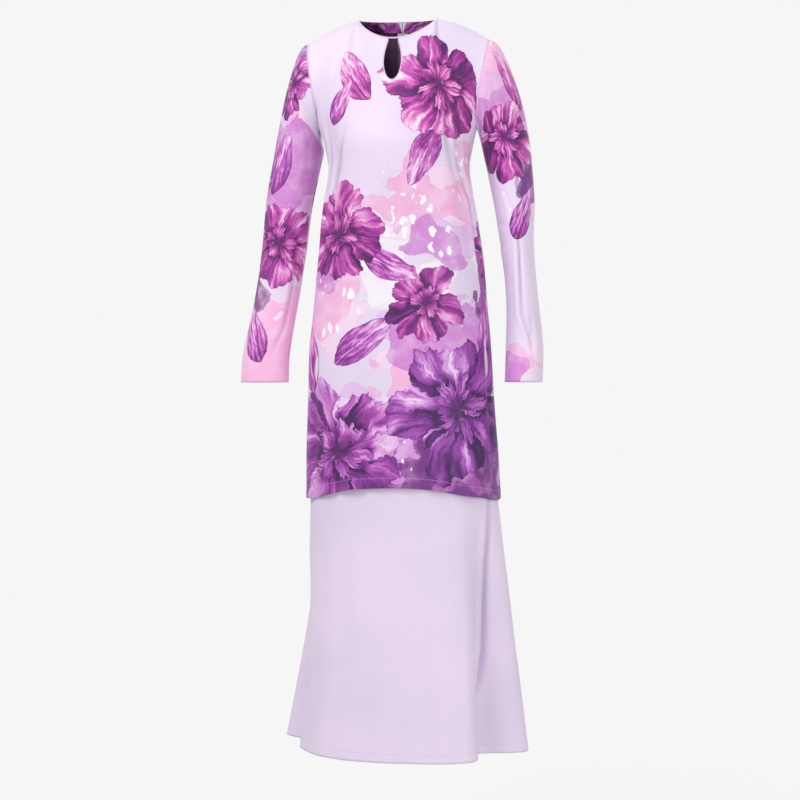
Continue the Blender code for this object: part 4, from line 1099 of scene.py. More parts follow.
class Paint:
    """Short calls that build a node tree. A value may be a number, a colour or another socket."""

    def __init__(self, tree):
        self.tree = tree

    def node(self, kind, **settings):
        node = self.tree.nodes.new(kind)
        for name, value in settings.items():
            setattr(node, name, value)
        return node

    def feed(self, socket, value):
        if isinstance(value, bpy.types.NodeSocket):
            self.tree.links.new(value, socket)
        else:
            socket.default_value = value

    def fill(self, node, values):
        """Feeds a node's sockets by their numbers or names."""
        for socket, value in values.items():
            self.feed(node.inputs[socket], value)
        return node.outputs

    def math(self, operation, *values, clamp=False):
        node = self.node("ShaderNodeMath", operation=operation, use_clamp=clamp)
        return self.fill(node, dict(enumerate(values)))[0]

    def times(self, first, second):
        return self.math("MULTIPLY", first, second)

    def minus(self, first, second, clamp=False):
        return self.math("SUBTRACT", first, second, clamp=clamp)

    def muladd(self, value, factor, base, clamp=False):
        return self.math("MULTIPLY_ADD", value, factor, base, clamp=clamp)

    def total(self, base, *parts):
        """A base with each part's value times its factor on top."""
        for value, factor in parts:
            base = self.muladd(value, factor, base)
        return base

    def vector(self, operation, *values):
        outputs = self.fill(self.node("ShaderNodeVectorMath", operation=operation), dict(enumerate(values)))
        return outputs["Value" if operation == "LENGTH" else "Vector"]

    def scaled(self, vector, amount):
        node = self.node("ShaderNodeVectorMath", operation="SCALE")
        return self.fill(node, {0: vector, "Scale": amount})["Vector"]

    def split(self, vector):
        return self.fill(self.node("ShaderNodeSeparateXYZ"), {0: vector})

    def join(self, x, y, z):
        return self.fill(self.node("ShaderNodeCombineXYZ"), {0: x, 1: y, 2: z})[0]

    def noise(self, vector, scale, detail=2.0, roughness=0.5):
        values = {"Vector": vector, "Scale": scale, "Detail": detail, "Roughness": roughness}
        return self.fill(self.node("ShaderNodeTexNoise"), values)

    def swing(self, *noise):
        """Noise from about -0.5 to 0.5."""
        return self.minus(self.noise(*noise)["Fac"], 0.5)

    def cells(self, vector, scale):
        return self.fill(self.node("ShaderNodeTexVoronoi"), {"Vector": vector, "Scale": scale})

    def rise(self, value, low, high):
        """0 up to low, 1 from high on and a soft step between."""
        node = self.node("ShaderNodeMapRange", interpolation_type="SMOOTHSTEP")
        return self.fill(node, {"Value": value, "From Min": low, "From Max": high})["Result"]

    def fall(self, value, low, high):
        """1 up to low, 0 from high on and a soft step between."""
        return self.minus(1.0, self.rise(value, low, high))

    def mix(self, factor, first, second, blend="MIX"):
        node = self.node("ShaderNodeMix", data_type="RGBA", blend_type=blend)
        return self.fill(node, {0: factor, 6: first, 7: second})[2]

    def ramp(self, factor, stops):
        node = self.node("ShaderNodeValToRGB")
        elements = node.color_ramp.elements
        while len(elements) < len(stops):
            elements.new(0.5)
        for element, (place, colour) in zip(elements, stops):
            element.position = place
            element.color = colour
        return self.fill(node, {0: factor})[0]

    def stored(self, name):
        return self.node("ShaderNodeAttribute", attribute_name=name).outputs["Vector"]

    def place(self):
        return self.node("ShaderNodeTexCoord").outputs["Object"]

    def bump(self, shader, height, strength, distance):
        """Gives a shader small relief."""
        values = {"Height": height, "Strength": strength, "Distance": distance}
        self.fill(shader, {"Normal": self.fill(self.node("ShaderNodeBump"), values)["Normal"]})

    def mix_shaders(self, factor, first, second, output):
        """Feeds an output node a mix of two shaders."""
        mixed = self.fill(self.node("ShaderNodeMixShader"), {0: factor, 1: first, 2: second})[0]
        self.fill(self.tree.nodes[output], {"Surface": mixed})


def new_group(name, inputs, outputs):
    """An empty node group with its sockets, its painter, and its input and output nodes."""
    tree = bpy.data.node_groups.new(name, "ShaderNodeTree")
    for label, kind in inputs:
        tree.interface.new_socket(label, in_out="INPUT", socket_type=kind)
    for label, kind in outputs:
        tree.interface.new_socket(label, in_out="OUTPUT", socket_type=kind)
    paint = Paint(tree)
    return paint, paint.node("NodeGroupInput").outputs, paint.node("NodeGroupOutput")


MOTIF_INPUTS = (
    ("Place", "NodeSocketVector"),
    ("Look", "NodeSocketVector"),
    ("Cut", "NodeSocketVector"),
)
MOTIF_OUTPUTS = (
    ("Colour", "NodeSocketColor"),
    ("Cover", "NodeSocketFloat"),
)
MIDDLE_GREY = (0.5, 0.5, 0.5)
BLOOM_WANDER = 0.42
PETAL_WANDER = 0.26
QUICK_WANDER = 0.04


def motif_frame(paint, given, wander):
    """A motif's own coordinates, with a hand-painted wander, and its seed, mask and tone."""
    cut = given["Cut"]
    seed = paint.split(given["Place"])[2]
    look = paint.split(given["Look"])
    place = given["Place"]
    for scale, detail, amount in ((16.0, 3.0, wander), (170.0, 2.0, QUICK_WANDER)):
        aside = paint.vector("SUBTRACT", paint.noise(cut, scale, detail)["Color"], MIDDLE_GREY)
        place = paint.vector("ADD", place, paint.scaled(aside, amount))
    x, y, _ = paint.split(place)
    return x, y, seed, look[0], look[1]


def tone_colour(paint, depth, tone):
    """The paint's colour from pale to deep, in magenta or violet."""
    return paint.mix(tone, paint.ramp(depth, MAGENTA_STOPS), paint.ramp(depth, VIOLET_STOPS))


def round_wheel(paint, way, scale, lift):
    """A place for noise that goes round a flower and changes with lift."""
    return paint.vector("ADD", paint.scaled(way, scale), paint.join(0.0, 0.0, lift))


def petal_ring(paint, wheel, uneven, turned, sway):
    """Where a point lies across its petal, from 0 to 1, and how far out the petal's edge bows."""
    swayed = paint.muladd(paint.minus(uneven, 0.5), sway, turned)
    part = paint.math("FRACT", paint.math("ADD", wheel, swayed))
    bow = paint.math("SINE", paint.times(part, pi))
    return part, paint.math("POWER", bow, 0.5)


def bloom_details(paint, flat, r, streaks, colour):
    """A flower's colour with thin dark brush lines and a dotted middle."""
    lines = paint.swing(paint.vector("ADD", streaks, (3.1, 1.7, 0.4)), 2.0, 2.0)
    ink = paint.fall(paint.math("ABSOLUTE", lines), 0.003, 0.012)
    colour = paint.mix(paint.times(ink, 0.50), colour, PLUM)
    speck = paint.fall(paint.cells(flat, 15.0)["Distance"], 0.14, 0.26)
    middle = paint.fall(r, 0.08, 0.17)
    return paint.mix(paint.times(speck, middle), colour, POLLEN)


def bloom_group():
    """An open flower in loose brushwork: five broad petals, each over the next, and a ruffled heart."""
    paint, given, result = new_group("bloom", MOTIF_INPUTS, MOTIF_OUTPUTS)
    x, y, seed, mask, tone = motif_frame(paint, given, BLOOM_WANDER)
    flat = paint.join(x, y, 0.0)
    r = paint.vector("LENGTH", flat)
    way = paint.vector("NORMALIZE", flat)
    wheel = paint.times(paint.math("ARCTAN2", y, x), PETALS / (2.0 * pi))
    seeded = round_wheel(paint, way, 1.1, seed)
    uneven = paint.noise(seeded, 1.0, 1.0)["Fac"]
    frill = paint.swing(seeded, 6.0, 3.0)
    along = paint.muladd(r, 0.8, seed)
    streaks = round_wheel(paint, way, 5.0, along)
    fine = paint.swing(streaks, 1.7, 4.0, 0.6)
    broad = paint.swing(round_wheel(paint, way, 1.6, along), 1.5, 2.0)

    part, bow = petal_ring(paint, wheel, uneven, 0.0, 1.6)
    gap = paint.minus(paint.total(0.36, (bow, 0.30), (uneven, 0.46), (frill, 0.22)), r)
    overlapped = paint.rise(part, 0.62, 1.0)
    overlapping = paint.rise(part, 0.0, 0.16)
    throat = paint.fall(r, 0.10, 0.50)
    rim = paint.fall(gap, 0.0, 0.05)
    depth = paint.total(0.36, (fine, 1.5), (broad, 1.9), (x, LIGHT_SIDE), (overlapped, 0.34),
                        (overlapping, 0.16), (throat, 0.52), (rim, 0.26))

    inner_part, inner_bow = petal_ring(paint, wheel, uneven, 0.5, -1.2)
    inner_gap = paint.minus(paint.total(0.16, (inner_bow, 0.20), (frill, 0.42)), r)
    shade = paint.fall(paint.times(inner_gap, -1.0), 0.0, 0.13)
    depth = paint.muladd(shade, 0.26, depth)
    folded = paint.rise(inner_part, 0.6, 1.0)
    heart = paint.fall(r, 0.04, 0.26)
    inner_depth = paint.total(0.44, (fine, -1.6), (folded, 0.30), (heart, 0.50))
    change = paint.minus(inner_depth, depth)
    depth = paint.muladd(change, paint.rise(inner_gap, 0.0, 0.015), depth, clamp=True)

    colour = bloom_details(paint, flat, r, streaks, tone_colour(paint, depth, tone))
    cover = paint.times(paint.rise(gap, 0.0, 0.02), mask)
    paint.fill(result, {"Colour": colour, "Cover": cover})
    return paint.tree


def petal_group():
    """A single long petal or leaf: pointed, streaked along its length, with a pale midrib."""
    paint, given, result = new_group("petal", MOTIF_INPUTS, MOTIF_OUTPUTS)
    x, y, seed, mask, tone = motif_frame(paint, given, PETAL_WANDER)
    rest = paint.minus(1.0, paint.times(x, x), clamp=True)
    breadth = paint.times(paint.math("POWER", rest, 0.75), 0.42)
    breadth = paint.times(breadth, paint.muladd(x, -0.30, 1.0))
    aside = paint.math("ABSOLUTE", y)
    gap = paint.minus(breadth, aside)
    slant = paint.muladd(aside, -0.9, x)
    streaks = paint.join(paint.times(slant, 1.4), paint.times(y, 7.0), seed)
    streak = paint.swing(streaks, 1.6, 4.0, 0.6)
    rim = paint.fall(gap, 0.0, 0.08)
    rib = paint.fall(aside, 0.008, 0.03)
    depth = paint.total(0.42, (streak, 1.9), (x, LIGHT_SIDE), (rim, 0.24))
    depth = paint.muladd(rib, -0.26, depth, clamp=True)
    cover = paint.times(paint.rise(gap, 0.0, 0.02), mask)
    paint.fill(result, {"Colour": tone_colour(paint, depth, tone), "Cover": cover})
    return paint.tree


def wash_field(paint, cut, shift, scale):
    """A slow uneven field, about 0 to 1, with a brush's small wobble on its level lines."""
    moved = paint.vector("ADD", cut, (shift, 0.0, shift))
    slow = paint.swing(moved, scale, 1.0, 0.4)
    quick = paint.swing(moved, 9.0 * scale, 3.0, 0.6)
    return paint.total(0.48, (slow, 1.9), (quick, 0.14))


def wash_over(paint, colour, field, strength, tint, pool, cover):
    """Lays a wash with a crisp edge: its water pools unevenly and its pigment dries along the edge."""
    scarce = paint.muladd(paint.rise(strength, 0.0, 0.35), 0.6, -0.6)
    level = paint.math("ADD", paint.math("ADD", field, strength), scarce)
    inside = paint.rise(level, 1.0, 1.0 + WASH_EDGE)
    dried = paint.fall(level, 1.0 + WASH_EDGE, 1.0 + 4.0 * WASH_EDGE)
    deeper = paint.mix(paint.times(dried, 0.14), tint, PLUM)
    laid = paint.times(inside, paint.muladd(pool, -0.5 * cover, cover))
    return paint.mix(laid, colour, deeper)


def flecked(paint, cut, fleck, colour):
    """A colour with small pale flecks scattered where the fleck wash is strong."""
    bent = paint.scaled(paint.noise(cut, 60.0, 2.0)["Color"], 0.02)
    leaning = paint.vector("MULTIPLY", paint.vector("ADD", cut, bent), (1.0, 0.62, 1.0))
    cells = paint.cells(leaning, 60.0)
    chosen = paint.split(cells["Color"])[0]
    size = paint.times(paint.times(chosen, fleck), 0.58)
    shape = paint.rise(paint.minus(size, cells["Distance"]), 0.0, 0.03)
    some = paint.rise(chosen, 0.50, 0.54)
    return paint.mix(paint.times(shape, some), colour, FLECK)


def print_group():
    """The whole print: a lilac ground, washes, pale flecks, leaves and flowers."""
    paint, _, result = new_group("print", (), MOTIF_OUTPUTS[:1])
    cut = paint.stored("cut")
    pink, orchid, violet = paint.split(paint.stored("wash_tint"))
    pale, fleck, _ = paint.split(paint.stored("wash_light"))
    cloudy = paint.noise(cut, 5.0, 2.0)["Fac"]
    colour = paint.mix(paint.rise(cloudy, 0.40, 0.62), LILAC, LILAC_COOL)
    pool = paint.rise(paint.noise(cut, 24.0, 3.0, 0.55)["Fac"], 0.42, 0.68)
    layers = (
        (7.0, 13.0, pale, PALE_PATCH, 0.90),
        (2.0, 13.0, paint.times(pink, 1.06), PALE_PINK, 0.90),
        (1.0, 15.0, pink, PINK, 0.80),
        (5.0, 11.0, paint.times(orchid, 1.05), PALE_ORCHID, 0.80),
        (3.0, 13.0, orchid, ORCHID, 0.85),
        (4.0, 12.0, violet, VIOLET, 0.95),
        (6.0, 17.0, paint.times(violet, 0.90), DEEP_VIOLET, 0.85),
    )
    for shift, scale, strength, tint, cover in layers:
        field = wash_field(paint, cut, shift, scale)
        colour = wash_over(paint, colour, field, strength, tint, pool, cover)
    colour = flecked(paint, cut, fleck, colour)
    groups = {"petal": petal_group(), "bloom": bloom_group()}
    for layer in MOTIF_LAYERS:
        group = paint.node("ShaderNodeGroup", node_tree=groups[layer.split("_")[0]])
        sockets = {"Place": paint.stored(layer), "Look": paint.stored(layer + "_look"), "Cut": cut}
        motif = paint.fill(group, sockets)
        colour = paint.mix(motif["Cover"], colour, motif["Colour"])
    paint.fill(result, {"Colour": colour})
    return paint.tree


def painted_crease_shade(paint, colour):
    """A cloth's colour darkened by painted shade where a crease is deep and sharp, standing in for the
    light such a trough loses.
    """
    depth = paint.split(paint.stored("painted_shade_amount"))[0]
    return paint.mix(paint.times(depth, PAINTED_FOLD_DARKNESS), colour, PAINTED_FOLD_SHADE, "MULTIPLY")


def crepe_surface(paint, shader, cut, colour, sheen):
    """Gives a cloth shader its colour, pebbled crepe grain, soft sheen and uneven gloss."""
    grain = paint.noise(cut, CREPE_GRAIN_SCALE, 2.0, 0.6)["Fac"]
    fine = paint.noise(cut, CREPE_FINE_SCALE, 3.0, 0.6)["Fac"]
    paint.bump(shader, paint.muladd(fine, 0.6, grain), *CREPE_RELIEF)
    paint.fill(shader, {"Base Color": colour, "Roughness": paint.muladd(fine, 0.16, 0.46),
                        "Sheen Weight": sheen, "Sheen Roughness": 0.45, "Specular IOR Level": 0.35})


def new_material(name):
    """A material, its painter and its shader."""
    material = bpy.data.materials.new(name)
    material.use_nodes = True
    paint = Paint(material.node_tree)
    return material, paint, material.node_tree.nodes["Principled BSDF"]


def printed_crepe(tree):
    """The print on the cloth's right side."""
    material, paint, shader = new_material("printed_crepe_face")
    group = paint.node("ShaderNodeGroup", node_tree=tree)
    # The print, darkened by painted shade in sharp creases
    colour = painted_crease_shade(paint, group.outputs["Colour"])
    crepe_surface(paint, shader, paint.stored("cut"), colour, FACE_SHEEN)
    return material


def printed_reverse(tree):
    """The print seen through the cloth from its wrong side, with painted shade darkening it toward the
    upper back, where the garment's inside lies in shadow.
    """
    material, paint, shader = new_material("printed_crepe_reverse")
    group = paint.node("ShaderNodeGroup", node_tree=tree)
    faded = paint.mix(SHOW_THROUGH, group.outputs["Colour"], LILAC)
    # Painted shade: the wrong side darkens toward plum in the upper back, where the garment's inside lies
    # in shadow
    height = paint.split(paint.place())[2]
    upper = paint.times(paint.rise(height, *INNER_SHADE_HEIGHTS), 0.8)
    colour = paint.mix(upper, faded, INNER_SHADE_PLUM)
    crepe_surface(paint, shader, paint.stored("cut"), colour, REVERSE_SHEEN)
    return material


def plain_crepe(name, colour, deeper):
    """Plain crepe, a little cloudy, with faint upright threads."""
    material, paint, shader = new_material(name)
    cut = paint.stored("cut")
    cloudy = paint.noise(cut, 6.0, 3.0)["Fac"]
    threads = paint.noise(paint.vector("MULTIPLY", cut, (3.0, 0.4, 1.0)), 260.0, 2.0)["Fac"]
    base = paint.mix(paint.rise(cloudy, 0.35, 0.70), colour, deeper)
    base = paint.mix(paint.times(paint.rise(threads, 0.5, 0.8), 0.10), base, deeper)
    # Painted shade darkens the colour in sharp creases
    crepe_surface(paint, shader, cut, painted_crease_shade(paint, base), PLAIN_SHEEN)
    return material


def binding_cloth():
    """A narrow pale strip: fine ribs across it and a little uneven colour."""
    material, paint, shader = new_material("binding_face")
    deeper = linear(214, 168, 210)
    place = paint.place()
    wave = paint.node("ShaderNodeTexWave", wave_type="BANDS", bands_direction="Z")
    ribs = paint.fill(wave, {"Vector": place, "Scale": RIB_SCALE, "Distortion": 0.6})["Fac"]
    uneven = paint.noise(place, 90.0, 3.0)["Fac"]
    base = paint.mix(paint.times(uneven, 0.5), linear(238, 204, 230), deeper)
    base = paint.mix(paint.times(ribs, 0.18), base, deeper)
    paint.bump(shader, ribs, *WOVEN_RELIEF)
    paint.fill(shader, {"Base Color": base, "Roughness": 0.62, "Sheen Weight": 0.08})
    return material


def tape_cloth():
    """The zip's tape: grey-white at the neck, with painted shade darkening it toward the print's plum
    further down, where the garment's inside lies in shadow.
    """
    material, paint, shader = new_material("zip_tape_face")
    place = paint.place()
    # Painted shade: the tape darkens toward plum further below the neck, inside the garment
    low = paint.times(paint.split(place)[2], -1.0)
    painted_shade = paint.rise(low, *TAPE_SHADE_HEIGHTS)
    base = paint.mix(painted_shade, linear(246, 242, 248), linear(120, 84, 122))
    weave = paint.noise(paint.vector("MULTIPLY", place, (1.0, 1.0, 2.4)), WEAVE_SCALE, 2.0)["Fac"]
    base = paint.mix(paint.times(weave, 0.20), base, linear(150, 140, 158))
    paint.bump(shader, weave, *WOVEN_RELIEF)
    paint.fill(shader, {"Base Color": base, "Roughness": 0.7})
    return material


def thread(name, colour):
    """Twisted sewing thread."""
    material, paint, shader = new_material(name)
    twist = paint.noise(paint.place(), TWIST_SCALE, 2.0)["Fac"]
    shade = paint.mix(paint.times(twist, 0.5), colour, linear(150, 120, 160))
    paint.bump(shader, twist, *THREAD_RELIEF)
    paint.fill(shader, {"Base Color": shade, "Roughness": 0.5})
    return material


def zip_metal():
    """Satin plated metal with faint brushing and patchy wear."""
    material, paint, shader = new_material("zip_metal_face")
    place = paint.place()
    brushed = paint.noise(paint.vector("MULTIPLY", place, (1.0, 1.0, 0.12)), BRUSH_SCALE, 2.0)["Fac"]
    worn = paint.noise(place, WEAR_SCALE, 3.0)["Fac"]
    base = paint.mix(paint.rise(worn, 0.4, 0.7), linear(196, 192, 198), linear(168, 163, 172))
    gloss = paint.muladd(brushed, 0.22, 0.20)
    paint.fill(shader, {"Base Color": base, "Roughness": gloss, "Metallic": 1.0})
    return material


def floor_material():
    """A pale floor that fades out into the light all round."""
    material, paint, shader = new_material("studio_floor")
    far = paint.vector("LENGTH", paint.place())
    paint.fill(shader, {"Base Color": linear(250, 250, 250), "Roughness": 0.9})
    clear = paint.node("ShaderNodeBsdfTransparent")
    share = paint.muladd(paint.rise(far, 0.2, 1.4), 0.30, 0.70)
    paint.mix_shaders(share, shader.outputs[0], clear.outputs[0], "Material Output")
    return material


# Pieces

def crowded(start, stop, count, near, width, extra):
    """Steps from start to stop with extra steps packed within a width of the given place."""
    dense = np.linspace(start, stop, CROWDED_SAMPLES)
    weight = 1.0 + extra * np.exp(-((dense - near) / width) ** 2)
    filled = np.concatenate([[0.0], np.cumsum((weight[1:] + weight[:-1]) / 2)])
    return np.interp(np.linspace(0.0, filled[-1], count + 1), filled, dense)


# How a panel is finished. Its patch is its place in the depth of the print and of the crepe's noise,
# which the two halves of the back share.
Finish = namedtuple("Finish", "slot patch hem seed waves creases motifs washes")
BACK_FINISH = Finish("printed_crepe", 2.0, TUNIC_HEM_DEPTH, 4, TUNIC_WAVES,
                     BACK_CREASES, BACK_MOTIFS, BACK_WASHES)
FINISHES = {
    "tunic_front": Finish("printed_crepe", 0.0, TUNIC_HEM_DEPTH, 1, TUNIC_WAVES,
                          FRONT_CREASES, FRONT_MOTIFS, FRONT_WASHES),
    "tunic_back_left": BACK_FINISH,
    "tunic_back_right": BACK_FINISH,
    "sleeve_left": Finish("printed_crepe", 4.0, SLEEVE_HEM_DEPTH, 7, LOOSE_WAVES,
                          LEFT_SLEEVE_CREASES, LEFT_SLEEVE_MOTIFS, LEFT_SLEEVE_WASHES),
    "sleeve_right": Finish("printed_crepe", 6.0, SLEEVE_HEM_DEPTH, 11, LOOSE_WAVES,
                           RIGHT_SLEEVE_CREASES, RIGHT_SLEEVE_MOTIFS, RIGHT_SLEEVE_WASHES),
    "skirt_front": Finish("plain_crepe", 10.0, SKIRT_HEM_DEPTH, 15, LOOSE_WAVES,
                          SKIRT_FRONT_CREASES, None, None),
    "skirt_back": Finish("plain_crepe", 11.0, SKIRT_HEM_DEPTH, 15, LOOSE_WAVES,
                         SKIRT_BACK_CREASES, None, None),
}
FACING_PATCH = 8.0
BAND_PATCH = FINISHES["skirt_front"].patch


def dress_panel(node, points, cut, materials, outline=None):
    """A panel's shell with its creases and turned hem, in place of its solid: its face and ways out."""
    finish = FINISHES[node]
    height = crease_height(cut, finish.creases) + soft_waves(cut, finish.seed, finish.waves) + seam_dip(cut)
    outer = points + grid_normals(points) * height[..., None]
    normals = grid_normals(outer)
    keep = None
    if outline is not None:
        keep, outer = cut_keyhole(outer, normals, outline)
    above_hem = cut[..., 1] - cut[:1, :, 1]
    inner = outer - normals * hem_thickness(above_hem, finish.hem)[..., None]
    mesh, flat = shell_mesh(node + "_cloth", outer, inner, cut, finish.patch, keep)
    # Painted shade: how far each point's colour is darkened in a sharp crease
    shade = fold_shade(flat, finish.creases)
    set_attribute(mesh, "painted_shade_amount", joined(shade, shade, shade))
    if finish.motifs:
        paint_print(mesh, flat, finish.motifs, finish.washes)
    show(node + "_cloth", mesh, materials, node)
    return outer, normals


def make_tunic_panel(node, share, front, materials, outline=None):
    """A tunic panel whose columns lie at given shares of its width."""
    lower = crowded(0.0, 1.0, FRONT_LOWER_ROWS, near=0.0, width=0.03, extra=2.0)[:-1]
    yoke = crowded(1.0, 2.0, FRONT_YOKE_ROWS, near=1.75, width=0.3, extra=0.6 if front else 0.0)
    level = np.concatenate([lower, yoke])
    points = tunic_grid(share, level, front)
    centre = int(np.argmin(np.abs(share)))
    underarm = int(np.argmin(np.abs(level - 1.0)))
    cut = flat_cut(points, centre, underarm, UNDERARM_HEIGHT)
    outer, normals = dress_panel(node, points, cut, materials, outline)
    return Cloth(outer, normals, cut, points, share, level)


def make_tunic_front(materials):
    """The front panel, with finer columns toward the keyhole."""
    share = crowded(-1.0, 1.0, FRONT_COLUMNS, near=0.0, width=0.10, extra=1.3)
    outline = keyhole_outline(KEYHOLE_TRIM, KEYHOLE_TRIM_STEPS)
    return make_tunic_panel("tunic_front", share, True, materials, outline)


def make_tunic_back(side, materials):
    """Half of the back, from the zip to its side."""
    share = np.linspace(0.0, 1.0, BACK_COLUMNS + 1) * side
    share = share[::-1] if side > 0 else share
    node = "tunic_back_left" if side > 0 else "tunic_back_right"
    return make_tunic_panel(node, share, False, materials)


def make_sleeve(node, stations, side, materials):
    """A sleeve from its cuff up to the armhole, open along its inner seam."""
    turn = np.linspace(pi, -pi, SLEEVE_COLUMNS + 1) * side
    t = np.linspace(0.0, 1.0, SLEEVE_CAP_ROWS + 1)[:, None]
    cap = sleeve_head(stations, side, np.broadcast_to(turn, (len(t), len(turn))), t)
    z = np.linspace(stations[0].z, stations[-1].z, SLEEVE_ARM_ROWS + 1)[1:, None]
    points = np.concatenate([cap, sleeve_ring(stations, side, turn, z)])[::-1]
    cut = flat_cut(points, SLEEVE_COLUMNS // 2, SLEEVE_ARM_ROWS, stations[0].z)
    outer, normals = dress_panel(node, points, cut, materials)
    return Cloth(outer, normals, cut, points, turn, None)


def make_skirt(node, first_angle, materials):
    """Half of the skirt, from one side seam round to the other."""
    angle = first_angle + np.linspace(0.0, 180.0, SKIRT_COLUMNS + 1)
    z = np.linspace(SKIRT_HEM, SKIRT_TOP, SKIRT_ROWS + 1)[:, None]
    points = skirt_grid(angle, z)
    cut = flat_cut(points, SKIRT_COLUMNS // 2, 0, SKIRT_HEM)
    outer, normals = dress_panel(node, points, cut, materials)
    return Cloth(outer, normals, cut, points, angle, None)


def make_waistband(materials):
    """An elastic casing, gathered small all round, above the skirt's top."""
    angle = np.linspace(180.0, 540.0, BAND_COLUMNS + 1)
    ring = ring_point(SKIRT_SECTIONS, angle, np.full_like(angle, SKIRT_TOP), 0.0)
    rise = np.linspace(0.0, 1.0, BAND_ROWS + 1)[:, None]
    z = SKIRT_TOP + CAD_GAP + (BAND_HEIGHT - CAD_GAP) * rise
    points = joined(ring[None, :, 0], ring[None, :, 1], z)
    cut = flat_cut(points, BAND_COLUMNS // 2, 0, SKIRT_TOP)
    rows = 0.5 + 0.5 * np.cos(2.0 * pi * BAND_STITCH_ROWS * rise)
    gathers = BAND_GATHER_DEPTH * np.cos(np.radians(angle) * BAND_GATHERS) * (1.0 - BAND_STITCH_HOLD * rows)
    height = BAND_THICKNESS / 2 + gathers - BAND_STITCH_DEPTH * rows
    outer = points + grid_normals(points) * height[..., None]
    inner = outer - grid_normals(outer) * BAND_CLOTH
    mesh, _ = shell_mesh("skirt_waistband_cloth", outer, inner, cut, BAND_PATCH)
    show("skirt_waistband_cloth", mesh, materials, "skirt_waistband")


def in_cloth(cloth, share, level, depth):
    """Points below a panel's smooth face at given shares and levels."""
    order = np.argsort(cloth.share)
    column = np.interp(share, cloth.share[order], order.astype(float))
    row = np.interp(level, cloth.level, np.arange(len(cloth.level), dtype=float))
    i = np.clip(row.astype(int), 0, len(cloth.level) - 2)
    j = np.clip(column.astype(int), 0, len(cloth.share) - 2)
    up = (row - i)[..., None]
    over = (column - j)[..., None]
    ways = grid_normals(cloth.points)

    def mixed(grid):
        low = grid[i, j] + (grid[i, j + 1] - grid[i, j]) * over
        high = grid[i + 1, j] + (grid[i + 1, j + 1] - grid[i + 1, j]) * over
        return low + (high - low) * up

    return mixed(cloth.points) - unit(mixed(ways)) * depth[..., None]


def make_facing(side, back, materials):
    """Half of the back neck facing, slanted away from the zip and raised over its tape."""
    w = np.linspace(1.0, 0.0, FACING_ROWS + 1)[:, None]
    u = FACING_END * np.linspace(0.0, 1.0, FACING_COLUMNS + 1)[None, :]
    share = (NECK_SHARE + FACING_SHOULDER_SHARE * w) * u
    level = 2.0 - w * FACING_NECK_ROWS * (1.0 - u ** 3)
    slant = FACING_TOP_OPEN + (FACING_LOW_OPEN - FACING_TOP_OPEN) * w
    step = np.full_like(level, side / CENTRE_PARTS)
    spread = np.abs(in_cloth(back, step, level, np.zeros_like(level))[..., 0]) * CENTRE_PARTS
    start = slant / spread
    share = start + share * (1.0 - start / (NECK_SHARE + FACING_SHOULDER_SHARE * w))
    level = level - FACING_NECK_GAP * (1.0 - w)
    x = np.abs(in_cloth(back, side * share, level, np.zeros_like(level))[..., 0])
    over_tape = 1.0 - ease((x - FACING_OVER_TAPE * TAPE_WIDTH) / TAPE_WIDTH)
    depth = CAD_WALL + CAD_GAP + FACING_EXTRA_GAP * (1.0 - over_tape)
    depth = depth + (TAPE_WALL + CAD_GAP) * over_tape
    outer = in_cloth(back, side * share, level, depth)
    outer = outer[:, ::-1] if side > 0 else outer
    inner = outer - grid_normals(outer) * CLOTH
    cut = flat_cut(outer, -1 if side > 0 else 0, 0, FACING_CUT_TOP)
    node = "back_facing_left" if side > 0 else "back_facing_right"
    mesh, flat = shell_mesh(node + "_cloth", outer, inner, cut, FACING_PATCH)
    paint_print(mesh, flat, FACING_MOTIFS, FACING_WASHES)
    show(node + "_cloth", mesh, materials, node)


def make_armhole_seams(material):
    """The pale ridge where each sleeve is sewn to the tunic."""
    parts = []
    for side in (1.0, -1.0):
        turn = np.linspace(0.0, 2.0 * pi, ARMHOLE_SEAM_STEPS, endpoint=False)
        front = turn <= pi
        path = armhole_point(side, np.where(front, turn, 2.0 * pi - turn), front)
        out, up = ARMHOLE_SEAM_WAY
        way = unit(joined(side * out, -np.sin(turn), up * np.cos(turn)))
        parts.append(tube_batch(path[None], way[None], ARMHOLE_SEAM, closed=True))
    show("armhole_seams", joined_mesh("armhole_seams", parts), (material,))


def on_front(cloth, x, z):
    """Points of the front panel's face near the neck at given places across and heights."""
    near = (np.abs(cloth.outer[..., 0]) < NEAR_NECK_X) & (cloth.outer[..., 2] > NEAR_NECK_Z)
    points = cloth.outer[near]
    ways = cloth.normals[near]
    away = np.hypot(points[:, 0] - x[:, None], points[:, 2] - z[:, None])
    nearest = np.argmin(away, axis=1)
    base = points[nearest]
    way = ways[nearest]
    slope = (x - base[:, 0]) * way[:, 0] + (z - base[:, 2]) * way[:, 2]
    return joined(x, base[:, 1] - slope / way[:, 1], z), way


def make_bindings(front, material):
    """The pale strip on the front neck edge, which bridges the keyhole, and the one round the keyhole."""
    share = np.linspace(-NECK_SHARE, NECK_SHARE, NECK_BAND_STEPS) * NECK_BAND_SHARE
    level = np.full_like(share, 2.0)
    edge = in_cloth(front, share, level, np.full_like(share, CLOTH / 2))
    below = in_cloth(front, share, level - NECK_BAND_LEVEL_STEP, np.full_like(share, CLOTH / 2))
    path = edge + unit(edge - below) * BINDING_GROWTH
    way = unit(np.cross(np.gradient(path, axis=0), edge - below))
    neck = tube_batch(path[None], way[None], NECK_BAND)
    outline = keyhole_outline(BINDING_GROWTH, KEYHOLE_BAND_STEPS)
    outline = outline[outline[:, 1] < NECK_FRONT[2] - KEYHOLE_BAND_START]
    hole, out = on_front(front, outline[:, 0], outline[:, 1])
    keyhole = tube_batch((hole - out * CLOTH / 2)[None], out[None], KEYHOLE_BAND)
    for node, part in (("neck_binding", neck), ("keyhole_binding", keyhole)):
        show(node + "_cloth", joined_mesh(node + "_cloth", [part]), (material,), node)


